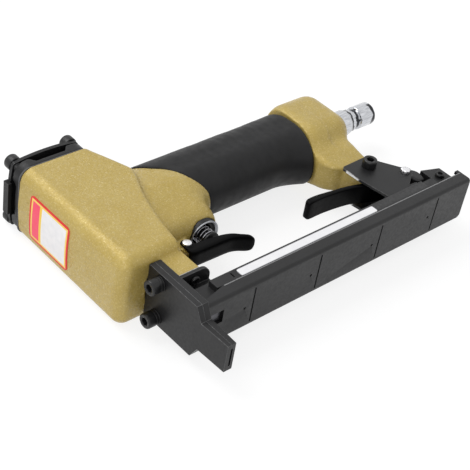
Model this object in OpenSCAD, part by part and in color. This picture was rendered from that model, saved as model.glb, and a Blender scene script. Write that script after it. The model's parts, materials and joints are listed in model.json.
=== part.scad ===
// Pneumatic upholstery stapler, lying on its right side.
// X runs to the rear, Y from the nose tip to the cap, Z up from one side to the other.
// The drive axis is the line x = 0, z = 0, in the middle of the head's width.

/* [Head] */
// Width of the head casting
head_w = 44; // [42:0.5:52]
// Drive axis to the front face
head_front = 20.5; // [20:0.5:26]
// Drive axis to the rear face at the cap
head_back = 24; // [23.5:0.5:28]
// Nose tip to the underside of the head
head_bottom = 60; // [59:0.5:64]
// Height of the head casting
head_h = 88.4; // [84:0.2:96]
// Radius of the long edges
head_r = 6; // [3:0.5:6.5]
// Drive axis to the rear edge of the head at its underside
foot_x = 15; // [12:0.5:20]
// Drive axis to the furthest point of the side bulge
bulge_x = 33; // [30:0.5:38]
// Underside of the head to the side bulge
bulge_rise = 61; // [50:1:66]

/* [Cylinder] */
// Bore of the cylinder sleeve
bore_r = 14; // [12:0.25:14]
// Wall of the cylinder sleeve
sleeve_t = 2; // [1:0.25:2]
// Radius of the air chamber round the sleeve
chamber_r = 18.3; // [17:0.1:18.5]
// Height of the lower bore that seats the sleeve
seat_h = 30; // [20:0.5:34]
// Floor under the sleeve
floor_t = 6; // [4:0.5:7]
// Radius of the opening for the blade
throat_r = 8; // [7:0.25:9]
// Height of the bumper
bumper_h = 10; // [6:0.5:11]
// Height of the piston
piston_h = 10; // [8:0.5:12]
// Room between the piston at rest and the sleeve's top
piston_room = 7.7; // [5:0.1:10]
// Piston stem radius
stem_r = 6; // [5:0.25:6.3]
// Height of the head valve
head_valve_h = 7; // [5:0.5:8]
// Room above the head valve
valve_room = 9.1; // [8:0.1:11]

/* [Blade and nose] */
// Thickness of the blade
blade_t = 1.1; // [0.8:0.05:1.4]
// Width of the blade
blade_w = 11; // [9:0.25:12]
// Thickness of the nose cover
cover_t = 3.35; // [2.5:0.05:4]
// Thickness of the nose guide
guide_t = 3.65; // [3:0.05:4.5]
// Width of the nose plates
nose_w = 32.4; // [28:0.2:34]
// Height of the nose tip
tip_h = 19; // [14:0.5:20]
// Height of the slanted shoulder above the tip
shoulder_h = 4.2; // [2:0.2:5]
// Width of the nose tip
tip_w = 17; // [15:0.25:19]
// Slant of the front of the tip
tip_slant = 0.9; // [0:0.1:1.5]
// Nose tip to the nose screws
nose_screw_y = 50; // [49:0.25:51]
// Distance between the nose screws
nose_screw_gap = 22; // [20:0.5:22]

/* [Boss and front bracket] */
// Width of the boss behind the nose
boss_w = 30; // [29:0.5:34]
// Length of the boss along X
boss_l = 14; // [13:0.25:16]
// Height of the boss under the head
boss_h = 14; // [13:0.25:14.5]
// Thickness of the bracket's upper plate
ear_t = 2; // [1.5:0.1:2.5]
// Length of the bracket's upper plate
ear_l = 19.8; // [16:0.2:21]
// Radius of the bracket plate's corner
ear_r = 6.5; // [3:0.25:7]
// Width of the bracket's web
ear_web_w = 12; // [8:0.5:14]

/* [Cap] */
// Thickness of the gasket
gasket_t = 0.8; // [0.5:0.1:1.5]
// Height of the cap ring
cap_ring_h = 7.4; // [6.5:0.1:10]
// Thickness of the cap plate
cap_plate_t = 2.2; // [1.5:0.1:3]
// Radius of the cap's corners
cap_r = 7; // [5:0.25:8]
// Radius of the bow of the cap plate's sides
cap_bow_r = 130; // [110:5:200]
// Distance between the cap screws
cap_screw_gap = 35; // [34:0.25:35.5]
// Width of the exhaust windows
window_w = 23; // [18:0.5:24]
// Height of the exhaust windows
window_h = 4.4; // [3:0.1:5]
// Depth of the exhaust windows
window_d = 5; // [3:0.25:6]
// Width of the front lip
lip_w = 20; // [14:0.5:24]
// Reach of the front lip
lip_l = 2.4; // [1.5:0.1:3]
// Drop of the front lip
lip_h = 4.4; // [3:0.1:5]

/* [Handle] */
// Nose tip to the handle's axis
handle_y = 115.2; // [114:0.5:117]
// Height of the handle core
core_h = 37.6; // [34:0.5:39]
// Width of the handle core
core_w = 30; // [27:0.5:31]
// Wall of the grip sleeve
grip_t = 3; // [2.5:0.1:4]
// Drive axis to the top front of the grip
grip_front = 43; // [42:0.5:45]
// Length of the grip's slanted front edge
grip_edge_l = 28; // [24:0.5:30]
// Drive axis to the rear end of the grip
grip_back = 146.5; // [144:0.5:148]
// Radius of the air chamber in the handle
air_r = 11; // [9:0.25:12]
// Height of the handle's thick end
knob_h = 42.4; // [42:0.2:46]
// Width of the handle's thick end
knob_w = 39; // [38:0.5:42]
// Radius of the thick end's long edges
knob_r = 12; // [8:0.5:14]
// Length of the handle's thick end
knob_l = 33; // [32:0.5:38]
// Radius of the thick end's rear edge
knob_edge_r = 9; // [5:0.5:9.5]
// Width of the neck between head and grip
neck_w = 34; // [32:0.5:37]
// Underside of the neck below the handle's axis
neck_drop = 37.2; // [36.2:0.2:38.2]
// Width of the leg under the handle end
leg_w = 16; // [14:0.5:18]
// Handle axis to the bottom of the leg
leg_drop = 56.7; // [55.7:0.2:57.7]

/* [Trigger] */
// Drive axis to the trigger pin
trigger_x = 31; // [30:0.25:32]
// Nose tip to the trigger pin
trigger_y = 71; // [70:0.25:71.5]
// Reach of the trigger
trigger_l = 36; // [34:0.5:38]
// Drop of the trigger's end
trigger_drop = 12.5; // [11:0.25:14]
// Width of the trigger
trigger_w = 12; // [11.5:0.25:14]
// Radius of the trigger's hub
trigger_hub_r = 4.6; // [4.2:0.1:5]
// Width of the trigger lug
lug_w = 7.4; // [6:0.2:8]
// Radius of the trigger pin
trigger_pin_r = 2.5; // [2:0.1:2.6]
// Length of the trigger pin
trigger_pin_l = 14; // [13:0.25:16]

/* [Trigger valve] */
// Drive axis to the valve's axis
valve_x = 48; // [47:0.25:49]
// Radius of the valve bushing's rim
valve_rim_r = 9; // [8.5:0.1:9.5]
// Radius of the valve bushing's barrel
valve_barrel_r = 7.5; // [7.2:0.1:8]
// Length of the valve bushing
valve_l = 24; // [22:0.5:25]
// Height of the valve bushing's rim
valve_rim_h = 2.4; // [1.5:0.1:3]
// Radius of the valve stem
valve_stem_r = 2.6; // [2:0.1:3]
// Radius of the spring pocket in the bushing
valve_pocket_r = 6.2; // [6:0.05:6.4]
// Depth of the spring pocket
valve_pocket_h = 8; // [6:0.25:10]
// Mean radius of the valve spring
valve_spring_r = 4.9; // [4.6:0.05:5]
// Radius of the valve spring's wire
valve_wire_r = 0.45; // [0.3:0.05:0.5]

/* [Magazine] */
// Width of the sliding channel
mag_w = 28.6; // [28:0.2:30]
// Height of the magazine
mag_h = 14.4; // [14:0.1:15]
// Nose tip to the channel's bottom face
mag_y = 21.9; // [21.5:0.1:22.2]
// Length of the sliding channel
mag_l = 198; // [195:0.5:202]
// Wall of the sliding channel
mag_t = 1.8; // [1.4:0.1:2]
// Radius of the channel's lower edges
mag_r = 1.8; // [1:0.1:3]
// Depth of the cross grooves in the bottom face
groove_d = 0.5; // [0.3:0.05:0.8]
// Width of the cross grooves
groove_w = 1; // [0.6:0.1:1.6]
// Nose plates to the first cross groove
groove_first = 30.2; // [26:0.2:34]
// Spacing of the cross grooves
groove_gap = 46.6; // [44:0.2:48]
// Height of the sliding channel's walls
wall_h = 7.8; // [7.5:0.1:8.2]
// Height of the sliding channel's walls at the nose
mouth_h = 4.1; // [3.5:0.1:5]
// Length of the fixed guide
guide_l = 183; // [182:0.25:184]
// Width of the staple core
core_rail_w = 9.6; // [9:0.1:9.6]
// Length of the pusher
pusher_l = 12; // [8:0.5:14]
// Mean radius of the pusher spring
pusher_spring_r = 2.2; // [1.9:0.05:2.3]
// Radius of the pusher spring's wire
pusher_wire_r = 0.3; // [0.2:0.05:0.35]
// Radius of the pusher rod
rod_r = 1.4; // [1:0.1:1.5]
// Width of the end block
end_block_w = 16; // [14:0.5:17]
// Height of the end block above the channel's bottom
end_block_h = 26.5; // [25:0.5:28]
// Length of the end block
end_block_l = 12; // [10:0.25:12.5]

/* [Rear bracket and latch] */
// Drive axis to the rear bracket's front corner
bracket_x = 148; // [147:0.25:149]
// Length of the rear bracket
bracket_l = 37; // [36:0.25:38]
// Height of the rear bracket
bracket_h = 38.5; // [37:0.25:39]
// Thickness of the bracket's plates
bracket_t = 1.6; // [1.2:0.1:2]
// Drive axis to the bracket screw
bracket_screw_x = 163; // [162:0.25:164]
// Nose tip to the bracket screw
bracket_screw_y = 66; // [65:0.25:67]
// Drive axis to the latch pin
latch_x = 178; // [177:0.25:179]
// Nose tip to the latch pin
latch_y = 51; // [50:0.25:52]
// Reach of the latch lever
latch_l = 67; // [62:0.5:68]
// Rise of the latch lever
latch_rise = 14.5; // [12:0.25:16]
// Width of the latch lever
latch_w = 13; // [11:0.25:14]
// Radius of the latch hub
latch_hub_r = 4.4; // [4:0.1:5]
// Radius of the latch pin
latch_pin_r = 2.5; // [2:0.1:2.6]
// Mean radius of the latch spring
latch_spring_r = 3; // [2.5:0.1:3.2]
// Radius of the latch spring's wire
latch_wire_r = 0.4; // [0.3:0.05:0.45]

/* [Air plug] */
// Radius of the plug's base
plug_base_r = 7.6; // [7:0.1:8]
// Length of the plug outside the handle end
plug_l = 36.5; // [32:0.5:38]
// Radius of the plug's nose, the coupler's seat
plug_nose_r = 6; // [5.5:0.1:6.4]
// Length of the plug's nose
plug_nose_l = 10; // [8:0.25:12]
// Radius of the plug's groove
plug_groove_r = 4.9; // [4.5:0.1:5.2]
// Radius of the plug's bore
plug_bore_r = 3.4; // [2.5:0.1:3.8]
// Radius of the plug's thread
plug_thread_r = 6.5; // [6:0.1:6.6]
// Length of the plug's thread
plug_thread_l = 10; // [8:0.25:12]

/* [Fasteners and labels] */
// Radius of the large screws
screw_r = 2.5; // [2:0.1:2.5]
// Radius of the large screws' heads
screw_head_r = 4.25; // [3.8:0.05:4.4]
// Height of the large screws' heads
screw_head_h = 5; // [4:0.1:5.5]
// Width across the flats of the large screws' sockets
socket_w = 4; // [3:0.1:4.4]
// Radius of the small screws
small_screw_r = 1.5; // [1:0.1:1.8]
// Radius of the small screws' heads
small_head_r = 2.75; // [2.4:0.05:3]
// Height of the small screws' heads
small_head_h = 2; // [1.5:0.1:2.4]
// Thickness of the washers under the nose screws
washer_t = 2.5; // [1:0.1:3]
// Thickness of the labels
label_t = 0.3; // [0.2:0.05:0.5]
// Height of the front label
label_h = 34; // [28:0.5:38]
// Width of the front label
label_w = 28; // [22:0.5:30]
// Length of the magazine label
strip_l = 100; // [80:1:110]
// Height of the magazine label
strip_h = 5; // [4:0.1:6]

/* [Hidden] */
$fn = 64;

// Running gap, fixed gap, and the overrun of every cut
run = 0.3;
fit = 0.05;
over = 1;

// Corner radius of a hexagon as a share of its width across the flats
hexagon_share = 0.5774;

gold = "darkkhaki";
black = "#2c2c2e";
rubber = "#1d1d1f";
steel = "silver";
grey = "#9a9ca0";

// Levels along the drive axis
head_top = head_bottom + head_h;
gasket_top = head_top + gasket_t;
ring_top = gasket_top + cap_ring_h;
plate_top = ring_top + cap_plate_t;
sleeve_r = bore_r + sleeve_t;
sleeve_low = head_bottom + floor_t;
sleeve_h = head_h - floor_t - run - head_valve_h - valve_room;
sleeve_top = sleeve_low + sleeve_h;
stroke = sleeve_h - bumper_h - run - piston_h - piston_room;
seat_top = sleeve_low + seat_h;
bumper_top = sleeve_low + bumper_h;
piston_low = bumper_top + stroke + run;
piston_r = bore_r - run;
stem_h = 14;
throat_lip_t = 1.6;
blade_root = 12;
blade_top = piston_low + piston_h - blade_root + run;
blade_tip = stroke;
blade_pin_r = 1.2;
blade_pin_drop = 9;
blade_pin_y = piston_low - blade_pin_drop;
head_valve_low = sleeve_top + run;
head_valve_top = head_valve_low + head_valve_h;
head_valve_r = chamber_r - run;
valve_hub_r = 5;
spring_post_r = 4;
head_spring_r = 7;
head_wire_r = 0.6;
head_spring_curls = 4;
sleeve_ring_levels = [sleeve_low + seat_h / 4, sleeve_low + 3 * seat_h / 4];
sleeve_ring_r = 0.5;
ring_groove = 2 * sleeve_ring_r + 2 * fit;
piston_ring_r = 1;
piston_groove = 2 * piston_ring_r + 2 * fit;
piston_groove_y = piston_low + piston_h / 2;
piston_groove_r = piston_r - 2 * piston_ring_r;
valve_ring_y = head_valve_low + head_valve_h / 2;
head_ring_r = 1;
head_groove_r = head_valve_r - 2 * head_ring_r;
valve_cup_h = head_valve_h / 2;

// Cap plan
cap_x = (head_back - head_front) / 2;
cap_l = head_front + head_back;
cap_inset = 0.3;
cap_screw_l = 28;
cap_hollow_r = 15;
window_r = 1.6;

// Nose
nose_h = head_bottom - run;
slot_t = blade_t + 2 * fit;
slot_w = blade_w + 6 * fit;
nose_split = -slot_t / 2;
nose_front = nose_split - cover_t;
nose_back = nose_split + guide_t;
plate_low = tip_h + shoulder_h;
nose_screw_l = 14.5;
tip_back_taper = 0.9;
nose_points = [[-nose_w / 2, nose_h], [-nose_w / 2, plate_low], [-tip_w / 2, tip_h], [-tip_w / 2, 0],
    [tip_w / 2, 0], [tip_w / 2, tip_h], [nose_w / 2, plate_low], [nose_w / 2, nose_h]];

// Boss and front bracket
boss_low = head_bottom - boss_h;
ear_low = boss_low - ear_t;
boss_x = nose_back;
ear_bolt_step = 9.5;
ear_bolt_x = boss_x + ear_bolt_step;
ear_bolt_gap = 20;
ear_bolt_l = 9;

// Magazine section
mag_x = nose_back + run;
mag_top = mag_y + mag_h;
mag_floor = mag_y + mag_t;
lip_t = 1.5;
lip_in = 3.6;
rib_h = 3.4;
wall_top = mag_y + wall_h;
rib_top = wall_top - lip_t - run;
rib_low = rib_top - rib_h;
rib_w = mag_w - 2 * mag_t - 2 * run;
guide_top_w = mag_w - 2 * lip_in - 2 * run;
bar_w = mag_w - 2 * run;
bar_low = wall_top + run;
guide_rise = 1.7;
guide_top = mag_top + guide_rise;
cavity_w = 12;
cavity_drop = 0.5;
cavity_top = mag_top - cavity_drop;
guide_wall_w = 16;
guide_gap = 1.3;
guide_low = mag_floor + guide_gap;
guide_x = nose_back + run;
core_drop = 1.3;
core_rail_top = cavity_top - core_drop;
core_wall = 1.4;
core_floor = 1.6;
core_gap = 6;
core_rail_l = mag_l - end_block_l - core_gap;
cheek_t = 0.6;
pusher_top_t = 0.7;
pusher_step = 4;
pusher_x = mag_x + pusher_step;
pusher_rise = 3.2;
pusher_low = mag_floor + pusher_rise;
pusher_hole_r = rod_r + run;
rod_rise = 6;
rod_y = mag_floor + rod_rise;
rod_wall = 2.4;
pusher_spring_curls = 30;
end_x = mag_x + mag_l - end_block_l;
end_fall = 4.2;
end_screw_l = 12;
end_screw_rise = 16.7;
groove_inset = 2;
groove_dimple_r = 0.8;
dimple_step = 5;
slit_w = 0.8;
slit_h = 3.2;
slit_step = 24;
mouth_l = 11.8;
mouth_slope_l = 15;
bar_short = 12.4;
bar_l = guide_l - mouth_l - bar_short;
foot_cut_l = 10.5;
foot_cut_w = 8;
foot_cut_z = -1.4;
tab_l = 2.6;
tab_h = 10.1;
end_cut = 4;

// Rear bracket and latch
bracket_low = guide_top;
bracket_gap = leg_w + 2 * fit;
bracket_w = bracket_gap + 2 * bracket_t;
bracket_base_t = 2;
bracket_shares = [[0.11, 0], [0.76, 0], [0.76, 0.07], [0.62, 0.08], [0.92, 0.28], [0.95, 0.36], [0.87, 0.42],
    [0.66, 0.72], [0.54, 0.93], [0.04, 0.92], [0, 0.88], [0.01, 0.6]];
bracket_nut_r = 4.6;
bracket_nut_h = 4;
bracket_screw_l = bracket_w + bracket_nut_h;
latch_pin_proud = 2;
latch_pin_l = bracket_w + 2 * latch_pin_proud;
latch_hub_w = bracket_gap - 2 * run;
hook_l = 10.4;
hook_w = 15;
hook_shares = [[-0.25, -0.1], [0.2, 0.42], [0.58, 0.34], [0.87, 0.12], [1, -0.2], [0.93, -0.58], [0.82, -0.87],
    [0.42, -0.87], [0.24, -0.48]];
latch_spring_step = 13;
latch_spring_x = latch_x - latch_spring_step;
latch_spring_curls = 5;
latch_seat_share = -0.03;
latch_spring_l = latch_y + latch_rise * latch_seat_share - bracket_low - bracket_base_t - 2 * fit;
latch_shares = [[0, 0.28], [-0.33, 0.44], [-0.39, 0.57], [-0.55, 0.78], [-0.72, 0.9], [-0.87, 1], [-0.97, 0.99],
    [-1, 0.92], [-1, 0.85], [-0.96, 0.82], [-0.81, 0.77], [-0.64, 0.67], [-0.49, 0.52], [-0.39, 0.32],
    [-0.31, 0.17], [0, -0.2]];
guide_bolt_gap = 14.5;
guide_bolt_l = 4;
guide_bolt_step = 9;
guide_bolt_x = bracket_x + guide_bolt_step;

// Handle
grip_h = core_h + 2 * grip_t;
grip_w = core_w + 2 * grip_t;
core_r = core_w / 2 - fit;
grip_low = handle_y - grip_h / 2;
grip_edge_shares = [[0, 1], [0.06, 0.88], [0.18, 0.65], [0.32, 0.43], [0.5, 0.25], [0.7, 0.11], [0.9, 0.02],
    [1, 0]];
knob_x = grip_back + fit;
knob_back = knob_x + knob_l;
knob_inset = 2.4;
knob_flare = 6;
neck_low = handle_y - neck_drop;
neck_top = handle_y + core_h / 2 + grip_t / 2;
neck_r = 10;
neck_lap = 3;
neck_x = foot_x - neck_lap;
neck_rise_shares = [[0, 0], [0.3, 0.35], [0.65, 0.75]];
neck_edge_last = 5;
crease_shares = [[0, 0], [0.11, 0.3], [0.25, 0.48], [0.5, 0.69], [1, 1], [0.72, 1.26]];
leg_low = handle_y - leg_drop;
leg_lap = 4.5;
leg_x = grip_back - leg_lap;
leg_l = 32.5;
leg_shares = [[0, 1], [0.03, 0.49], [0.24, 0.32], [0.38, 0.1], [0.44, 0], [0.86, 0], [0.85, 0.32], [0.91, 0.47],
    [1, 0.66], [1, 1]];
lug_neck = 3;

// Trigger and its valve
trigger_top_shares = [[0.08, 0.34], [0.25, 0], [0.42, -0.22], [0.64, -0.35], [0.79, -0.54], [0.92, -0.86],
    [1, -1]];
trigger_low_shares = [[0.97, -1.14], [0.88, -0.94], [0.76, -0.68], [0.6, -0.6], [0.35, -0.57], [0.1, -0.62],
    [-0.08, -0.3]];
trigger_seat_drop = 2.3;
lug_slot_l = 6.2;
stem_low = trigger_y - trigger_seat_drop + run;
stem_button_r = 5.5;
stem_button_h = 1.2;
stem_button_rise = 1.6;
stem_l = 28.5;
valve_proud = 1.2;
valve_low = neck_low - valve_proud;
valve_spring_low = stem_low + stem_button_rise + stem_button_h;
valve_spring_top = valve_low + valve_pocket_h;
valve_spring_curls = 5;
stem_ring_r = 0.6;
valve_ring_r = 0.9;
valve_ring_level = valve_low + valve_l / 2;
stem_groove_y = valve_low + valve_pocket_h + valve_l / 3;

// Air plug: stations along its axis
plug_neck_l = 5;
plug_neck_r = 6.3;
plug_groove_l = 5;
plug_washer_t = 1;
plug_chamfer = 1.4;
plug_base_l = plug_l - plug_nose_l - plug_groove_l - plug_neck_l;
plug_x = knob_back + plug_washer_t;
screen_t = 1.4;

// Labels
label_drop = 11;
label_y = head_top - label_drop;
label_r = 2.5;
strip_step = 28;
strip_x = mag_x + strip_step;
strip_drop = 6.2;
strip_y = mag_top - strip_drop;
strip_r = 1.5;

// Profile in X and Y, w wide, across the middle
module slab(w) translate([0, 0, -w / 2]) linear_extrude(w) children();

// Profile in Z and Y, running along X from x for l
module x_bar(x, l) translate([x, 0, 0]) rotate([0, 90, 0]) linear_extrude(l) children();

// Profile in X and Z, running along Y from y for l
module y_bar(y, l) translate([0, y, 0]) rotate([-90, 0, 0]) linear_extrude(l) children();

module x_rod(x, l, r) translate([x, 0, 0]) rotate([0, 90, 0]) cylinder(h = l, r = r);

module y_rod(y, l, r) translate([0, y, 0]) rotate([-90, 0, 0]) cylinder(h = l, r = r);

module z_rod(l, r) translate([0, 0, -l / 2]) cylinder(h = l, r = r);

// Rectangle with round corners, centred
module round_rect(a, b, r) {
    square([a - 2 * r, b], center = true);
    square([a, b - 2 * r], center = true);
    for (x = [-1, 1], y = [-1, 1])
        translate([x * (a / 2 - r), y * (b / 2 - r)]) circle(r);
}

// Outline whose points are shares of a box with its low corner at [x, y]
function shared(points, x, y, a, b) = [for (p = points) [x + p[0] * a, y + p[1] * b]];

// Ring of round section about Y
module y_ring(y, r, wire) translate([0, y, 0]) rotate([-90, 0, 0])
    rotate_extrude() translate([r, 0]) circle(wire);

// Socket head screw: its head ends at z = head height, its shank runs down
module socket_screw(r, l, head_r, head_h, socket) {
    difference() {
        union() {
            cylinder(h = head_h, r = head_r);
            translate([0, 0, -l]) cylinder(h = l + head_h / 2, r = r);
        }
        translate([0, 0, head_h / 2]) cylinder(h = head_h, r = socket * hexagon_share, $fn = 6);
    }
}

// Coil springs: the tube's middle line, then its skin
rings = 8;
sides = 6;

function coil_at(r, pitch, i) = [r * cos(360 * i / rings), r * sin(360 * i / rings), pitch * i / rings];

function coil_way(r, pitch, i) =
    let(d = [-r * sin(360 * i / rings), r * cos(360 * i / rings), pitch / (2 * PI)]) d / norm(d);

function coil_path(r, wire, pitch, curls) =
    let(last = rings * curls)
    [coil_at(r, pitch, 0) - 2 * wire * coil_way(r, pitch, 0),
        for (i = [0:last]) coil_at(r, pitch, i),
        coil_at(r, pitch, last) + 2 * wire * coil_way(r, pitch, last)];

function coil_ring(r, wire, pitch, path, i, last) =
    let(k = max(0, min(last, i - 1)))
    let(out = [cos(360 * k / rings), sin(360 * k / rings), 0])
    let(up = cross(coil_way(r, pitch, k), out))
    [for (s = [0:sides - 1]) path[i] + wire * (cos(360 * s / sides) * out + sin(360 * s / sides) * up)];

function coil_gap(path, wire) =
    min([for (i = [0:len(path) - 1], j = [i + rings - 2:len(path) - 1]) if (j < len(path))
        norm(path[i] - path[j])]) - 2 * wire;

module coil(name, r, wire, l, curls) {
    pitch = (l - 4 * wire) / curls;
    path = coil_path(r, wire, pitch, curls);
    n = len(path);
    points = [for (i = [0:n - 1]) each coil_ring(r, wire, pitch, path, i, rings * curls)];
    walls = [for (i = [0:n - 2], s = [0:sides - 1]) each
        let(a = i * sides + s, b = i * sides + (s + 1) % sides)
        [[a, b, b + sides], [a, b + sides, a + sides]]];
    start = [for (s = [1:sides - 2]) [0, s + 1, s]];
    finish = [for (s = [1:sides - 2]) [(n - 1) * sides, (n - 1) * sides + s, (n - 1) * sides + s + 1]];
    echo(str(name, " least gap to itself"), coil_gap(path, wire));
    translate([0, 0, 2 * wire])
        polyhedron(points, [for (f = concat(walls, start, finish)) [f[0], f[2], f[1]]]);
}

// Castings

module head_profile() {
    polygon(concat([[-head_front, head_top], [-head_front, head_bottom]],
        shared(crease_shares, foot_x, head_bottom, bulge_x - foot_x, bulge_rise), [[head_back, head_top]]));
}

module head_block() {
    back = bulge_x + head_r;
    intersection() {
        slab(head_w) head_profile();
        x_bar(-head_front, head_front + back)
            translate([0, head_bottom + head_h]) round_rect(head_w, 2 * head_h, head_r);
        y_bar(head_bottom, head_h)
            translate([back - head_front, 0] / 2) round_rect(head_front + back, head_w, head_r);
    }
}

// Slanted front edge of the grip, from its top to its underside
grip_edge = shared(grip_edge_shares, grip_front, grip_low, grip_edge_l, grip_h);

// The neck ends along the grip's front edge
module neck() {
    depth = neck_top - neck_low;
    rise_x = valve_x + valve_rim_r + fit;
    last = grip_edge[neck_edge_last];
    intersection() {
        slab(neck_w) polygon(concat([[neck_x, neck_top], [neck_x, neck_low]],
            shared(neck_rise_shares, rise_x, neck_low, last[0] - rise_x, last[1] - neck_low),
            [for (i = [neck_edge_last:-1:1]) grip_edge[i] - [fit, 0]],
            [[grip_front - fit, neck_top]]));
        x_bar(neck_x, last[0] - neck_x) translate([0, neck_low + depth / 2]) round_rect(neck_w, depth, neck_r);
    }
}

module handle_core() x_bar(foot_x, knob_x + knob_flare - foot_x)
    translate([0, handle_y]) round_rect(core_w, core_h, core_r);

// Outline of the thick end across one width: a bevel at the grip, round rear corners
module knob_plan(width) intersection() {
    round_rect(2 * knob_l, width, knob_edge_r);
    polygon([[0, width / 2 - knob_inset], [knob_flare, width / 2], [knob_l, width / 2], [knob_l, -width / 2],
        [knob_flare, -width / 2], [0, knob_inset - width / 2]]);
}

module knob() intersection() {
    x_bar(knob_x, knob_l) translate([0, handle_y]) round_rect(knob_w, knob_h, knob_r);
    slab(knob_w) translate([knob_x, handle_y]) knob_plan(knob_h);
    y_bar(handle_y - knob_h / 2, knob_h) translate([knob_x, 0]) knob_plan(knob_w);
}

// The leg ends under the grip
module leg() slab(leg_w) difference() {
    polygon(shared(leg_shares, leg_x, leg_low, leg_l, leg_drop - air_r));
    translate([leg_x - over, grip_low - fit]) square([knob_x - leg_x + over, leg_drop]);
}

module trigger_lug() slab(lug_w) {
    translate([trigger_x, trigger_y]) circle(trigger_hub_r - 2 * fit);
    translate([trigger_x - trigger_hub_r, trigger_y])
        square([2 * trigger_hub_r, neck_low + lug_neck - trigger_y]);
    translate([foot_x - lug_neck, trigger_y]) square([trigger_x - foot_x, neck_low + lug_neck - trigger_y]);
}

module boss() slab(boss_w) translate([boss_x, boss_low]) square([boss_l, boss_h + head_r]);

module screw_holes() {
    for (x = [-1, 1], z = [-1, 1])
        translate([cap_x + x * cap_screw_gap / 2, 0, z * cap_screw_gap / 2])
            y_rod(head_top - cap_screw_l + cap_ring_h + cap_plate_t, cap_screw_l, screw_r + fit);
    for (z = [-1, 1]) {
        translate([0, nose_screw_y, z * nose_screw_gap / 2])
            x_rod(nose_back - over, nose_screw_l - cover_t - guide_t + over, screw_r + fit);
        translate([ear_bolt_x, 0, z * ear_bolt_gap / 2])
            y_rod(boss_low - over, ear_bolt_l - ear_t + over, small_screw_r + fit);
    }
    translate([bracket_screw_x, bracket_screw_y, 0]) z_rod(leg_w + 2 * over, screw_r + fit);
    translate([trigger_x, trigger_y, 0]) z_rod(lug_w + 2 * over, trigger_pin_r + fit);
}

module housing() color(gold) difference() {
    union() {
        head_block();
        neck();
        handle_core();
        knob();
        leg();
        trigger_lug();
        boss();
    }
    y_rod(seat_top, head_top - seat_top + over, chamber_r);
    y_rod(sleeve_low, seat_h + over, sleeve_r + fit);
    y_rod(head_bottom + throat_lip_t, floor_t - throat_lip_t + over, throat_r);
    // In front of the nose cover a lip closes the throat
    intersection() {
        y_rod(head_bottom - over, throat_lip_t + 2 * over, throat_r);
        translate([nose_front + run, head_bottom - over, -throat_r])
            cube([throat_r - nose_front, throat_lip_t + 2 * over, 2 * throat_r]);
    }
    translate([0, handle_y, 0]) {
        x_rod(sleeve_r, knob_back - plug_thread_l - sleeve_r, air_r);
        x_rod(knob_back - plug_thread_l - over, plug_thread_l + 2 * over, plug_thread_r + fit);
    }
    translate([valve_x, 0, 0]) {
        y_rod(valve_low - over, valve_rim_h + over, valve_rim_r + fit);
        y_rod(valve_low, handle_y - valve_low, valve_barrel_r + fit);
    }
    screw_holes();
}

// Cap

module cap_plan(inset) translate([cap_x, 0])
    round_rect(cap_l - 2 * inset, head_w - 2 * inset, cap_r - inset);

module at_cap_screws() for (x = [-1, 1], z = [-1, 1])
    translate([cap_x + x * cap_screw_gap / 2, 0, z * cap_screw_gap / 2]) children();

module cap_gasket() color(grey) difference() {
    y_bar(head_top, gasket_t) cap_plan(cap_inset);
    y_rod(head_top - over, gasket_t + 2 * over, chamber_r);
    at_cap_screws() y_rod(head_top - over, gasket_t + 2 * over, screw_r + fit);
}

module cap_ring() color(black) {
    difference() {
        y_bar(gasket_top, cap_ring_h) cap_plan(cap_inset);
        y_rod(gasket_top - over, cap_ring_h + 2 * over, cap_hollow_r);
        at_cap_screws() y_rod(gasket_top - over, cap_ring_h + 2 * over, screw_r + fit);
        // Exhaust windows on all four sides, open to the plate
        translate([cap_x, ring_top - window_h, 0]) {
            for (z = [-1, 1])
                translate([0, 0, z * (head_w - window_d) / 2])
                    y_bar(0, window_h + over) round_rect(window_w, window_d + over, window_r);
            for (x = [-1, 1])
                translate([x * (cap_l - window_d) / 2, 0, 0])
                    y_bar(0, window_h + over) round_rect(window_d + over, window_w, window_r);
        }
    }
}

module cap_plate() color(black) difference() {
    union() {
        y_bar(ring_top, cap_plate_t) intersection() {
            cap_plan(0);
            translate([cap_x + cap_bow_r - cap_l / 2, 0]) circle(cap_bow_r);
            translate([cap_x + cap_l / 2 - cap_bow_r, 0]) circle(cap_bow_r);
            translate([cap_x, cap_bow_r - head_w / 2]) circle(cap_bow_r);
            translate([cap_x, head_w / 2 - cap_bow_r]) circle(cap_bow_r);
        }
        // Front lip, turned down over the front window
        slab(lip_w) translate([-head_front - lip_l, plate_top - lip_h]) {
            square([lip_l - run, lip_h]);
            translate([0, lip_h - cap_plate_t]) square([lip_l + cap_plate_t, cap_plate_t]);
        }
        // Spring post that reaches into the head valve
        y_rod(ring_top - cap_ring_h / 2, cap_ring_h / 2 + cap_plate_t / 2, spring_post_r);
    }
    at_cap_screws() y_rod(ring_top - over, cap_plate_t + 2 * over, screw_r + fit);
}

module cap_screws() color(black) at_cap_screws() translate([0, plate_top, 0]) rotate([-90, 0, 0])
    socket_screw(screw_r, cap_screw_l - over, screw_head_r, screw_head_h, socket_w);

// Drive train

module cylinder_sleeve() color(grey) difference() {
    y_rod(sleeve_low, sleeve_h, sleeve_r);
    y_rod(sleeve_low - over, sleeve_h + 2 * over, bore_r);
    for (y = sleeve_ring_levels)
        difference() {
            y_rod(y - ring_groove / 2, ring_groove, sleeve_r + over);
            y_rod(y - ring_groove, 2 * ring_groove, sleeve_r - 2 * sleeve_ring_r);
        }
}

module sleeve_o_rings() color(rubber)
    for (y = sleeve_ring_levels) y_ring(y, sleeve_r - sleeve_ring_r + fit / 2, sleeve_ring_r - fit / 2);

module bumper() color(rubber) difference() {
    y_rod(sleeve_low, bumper_h, bore_r - fit);
    y_rod(sleeve_low - over, bumper_h + 2 * over, throat_r);
}

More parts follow.
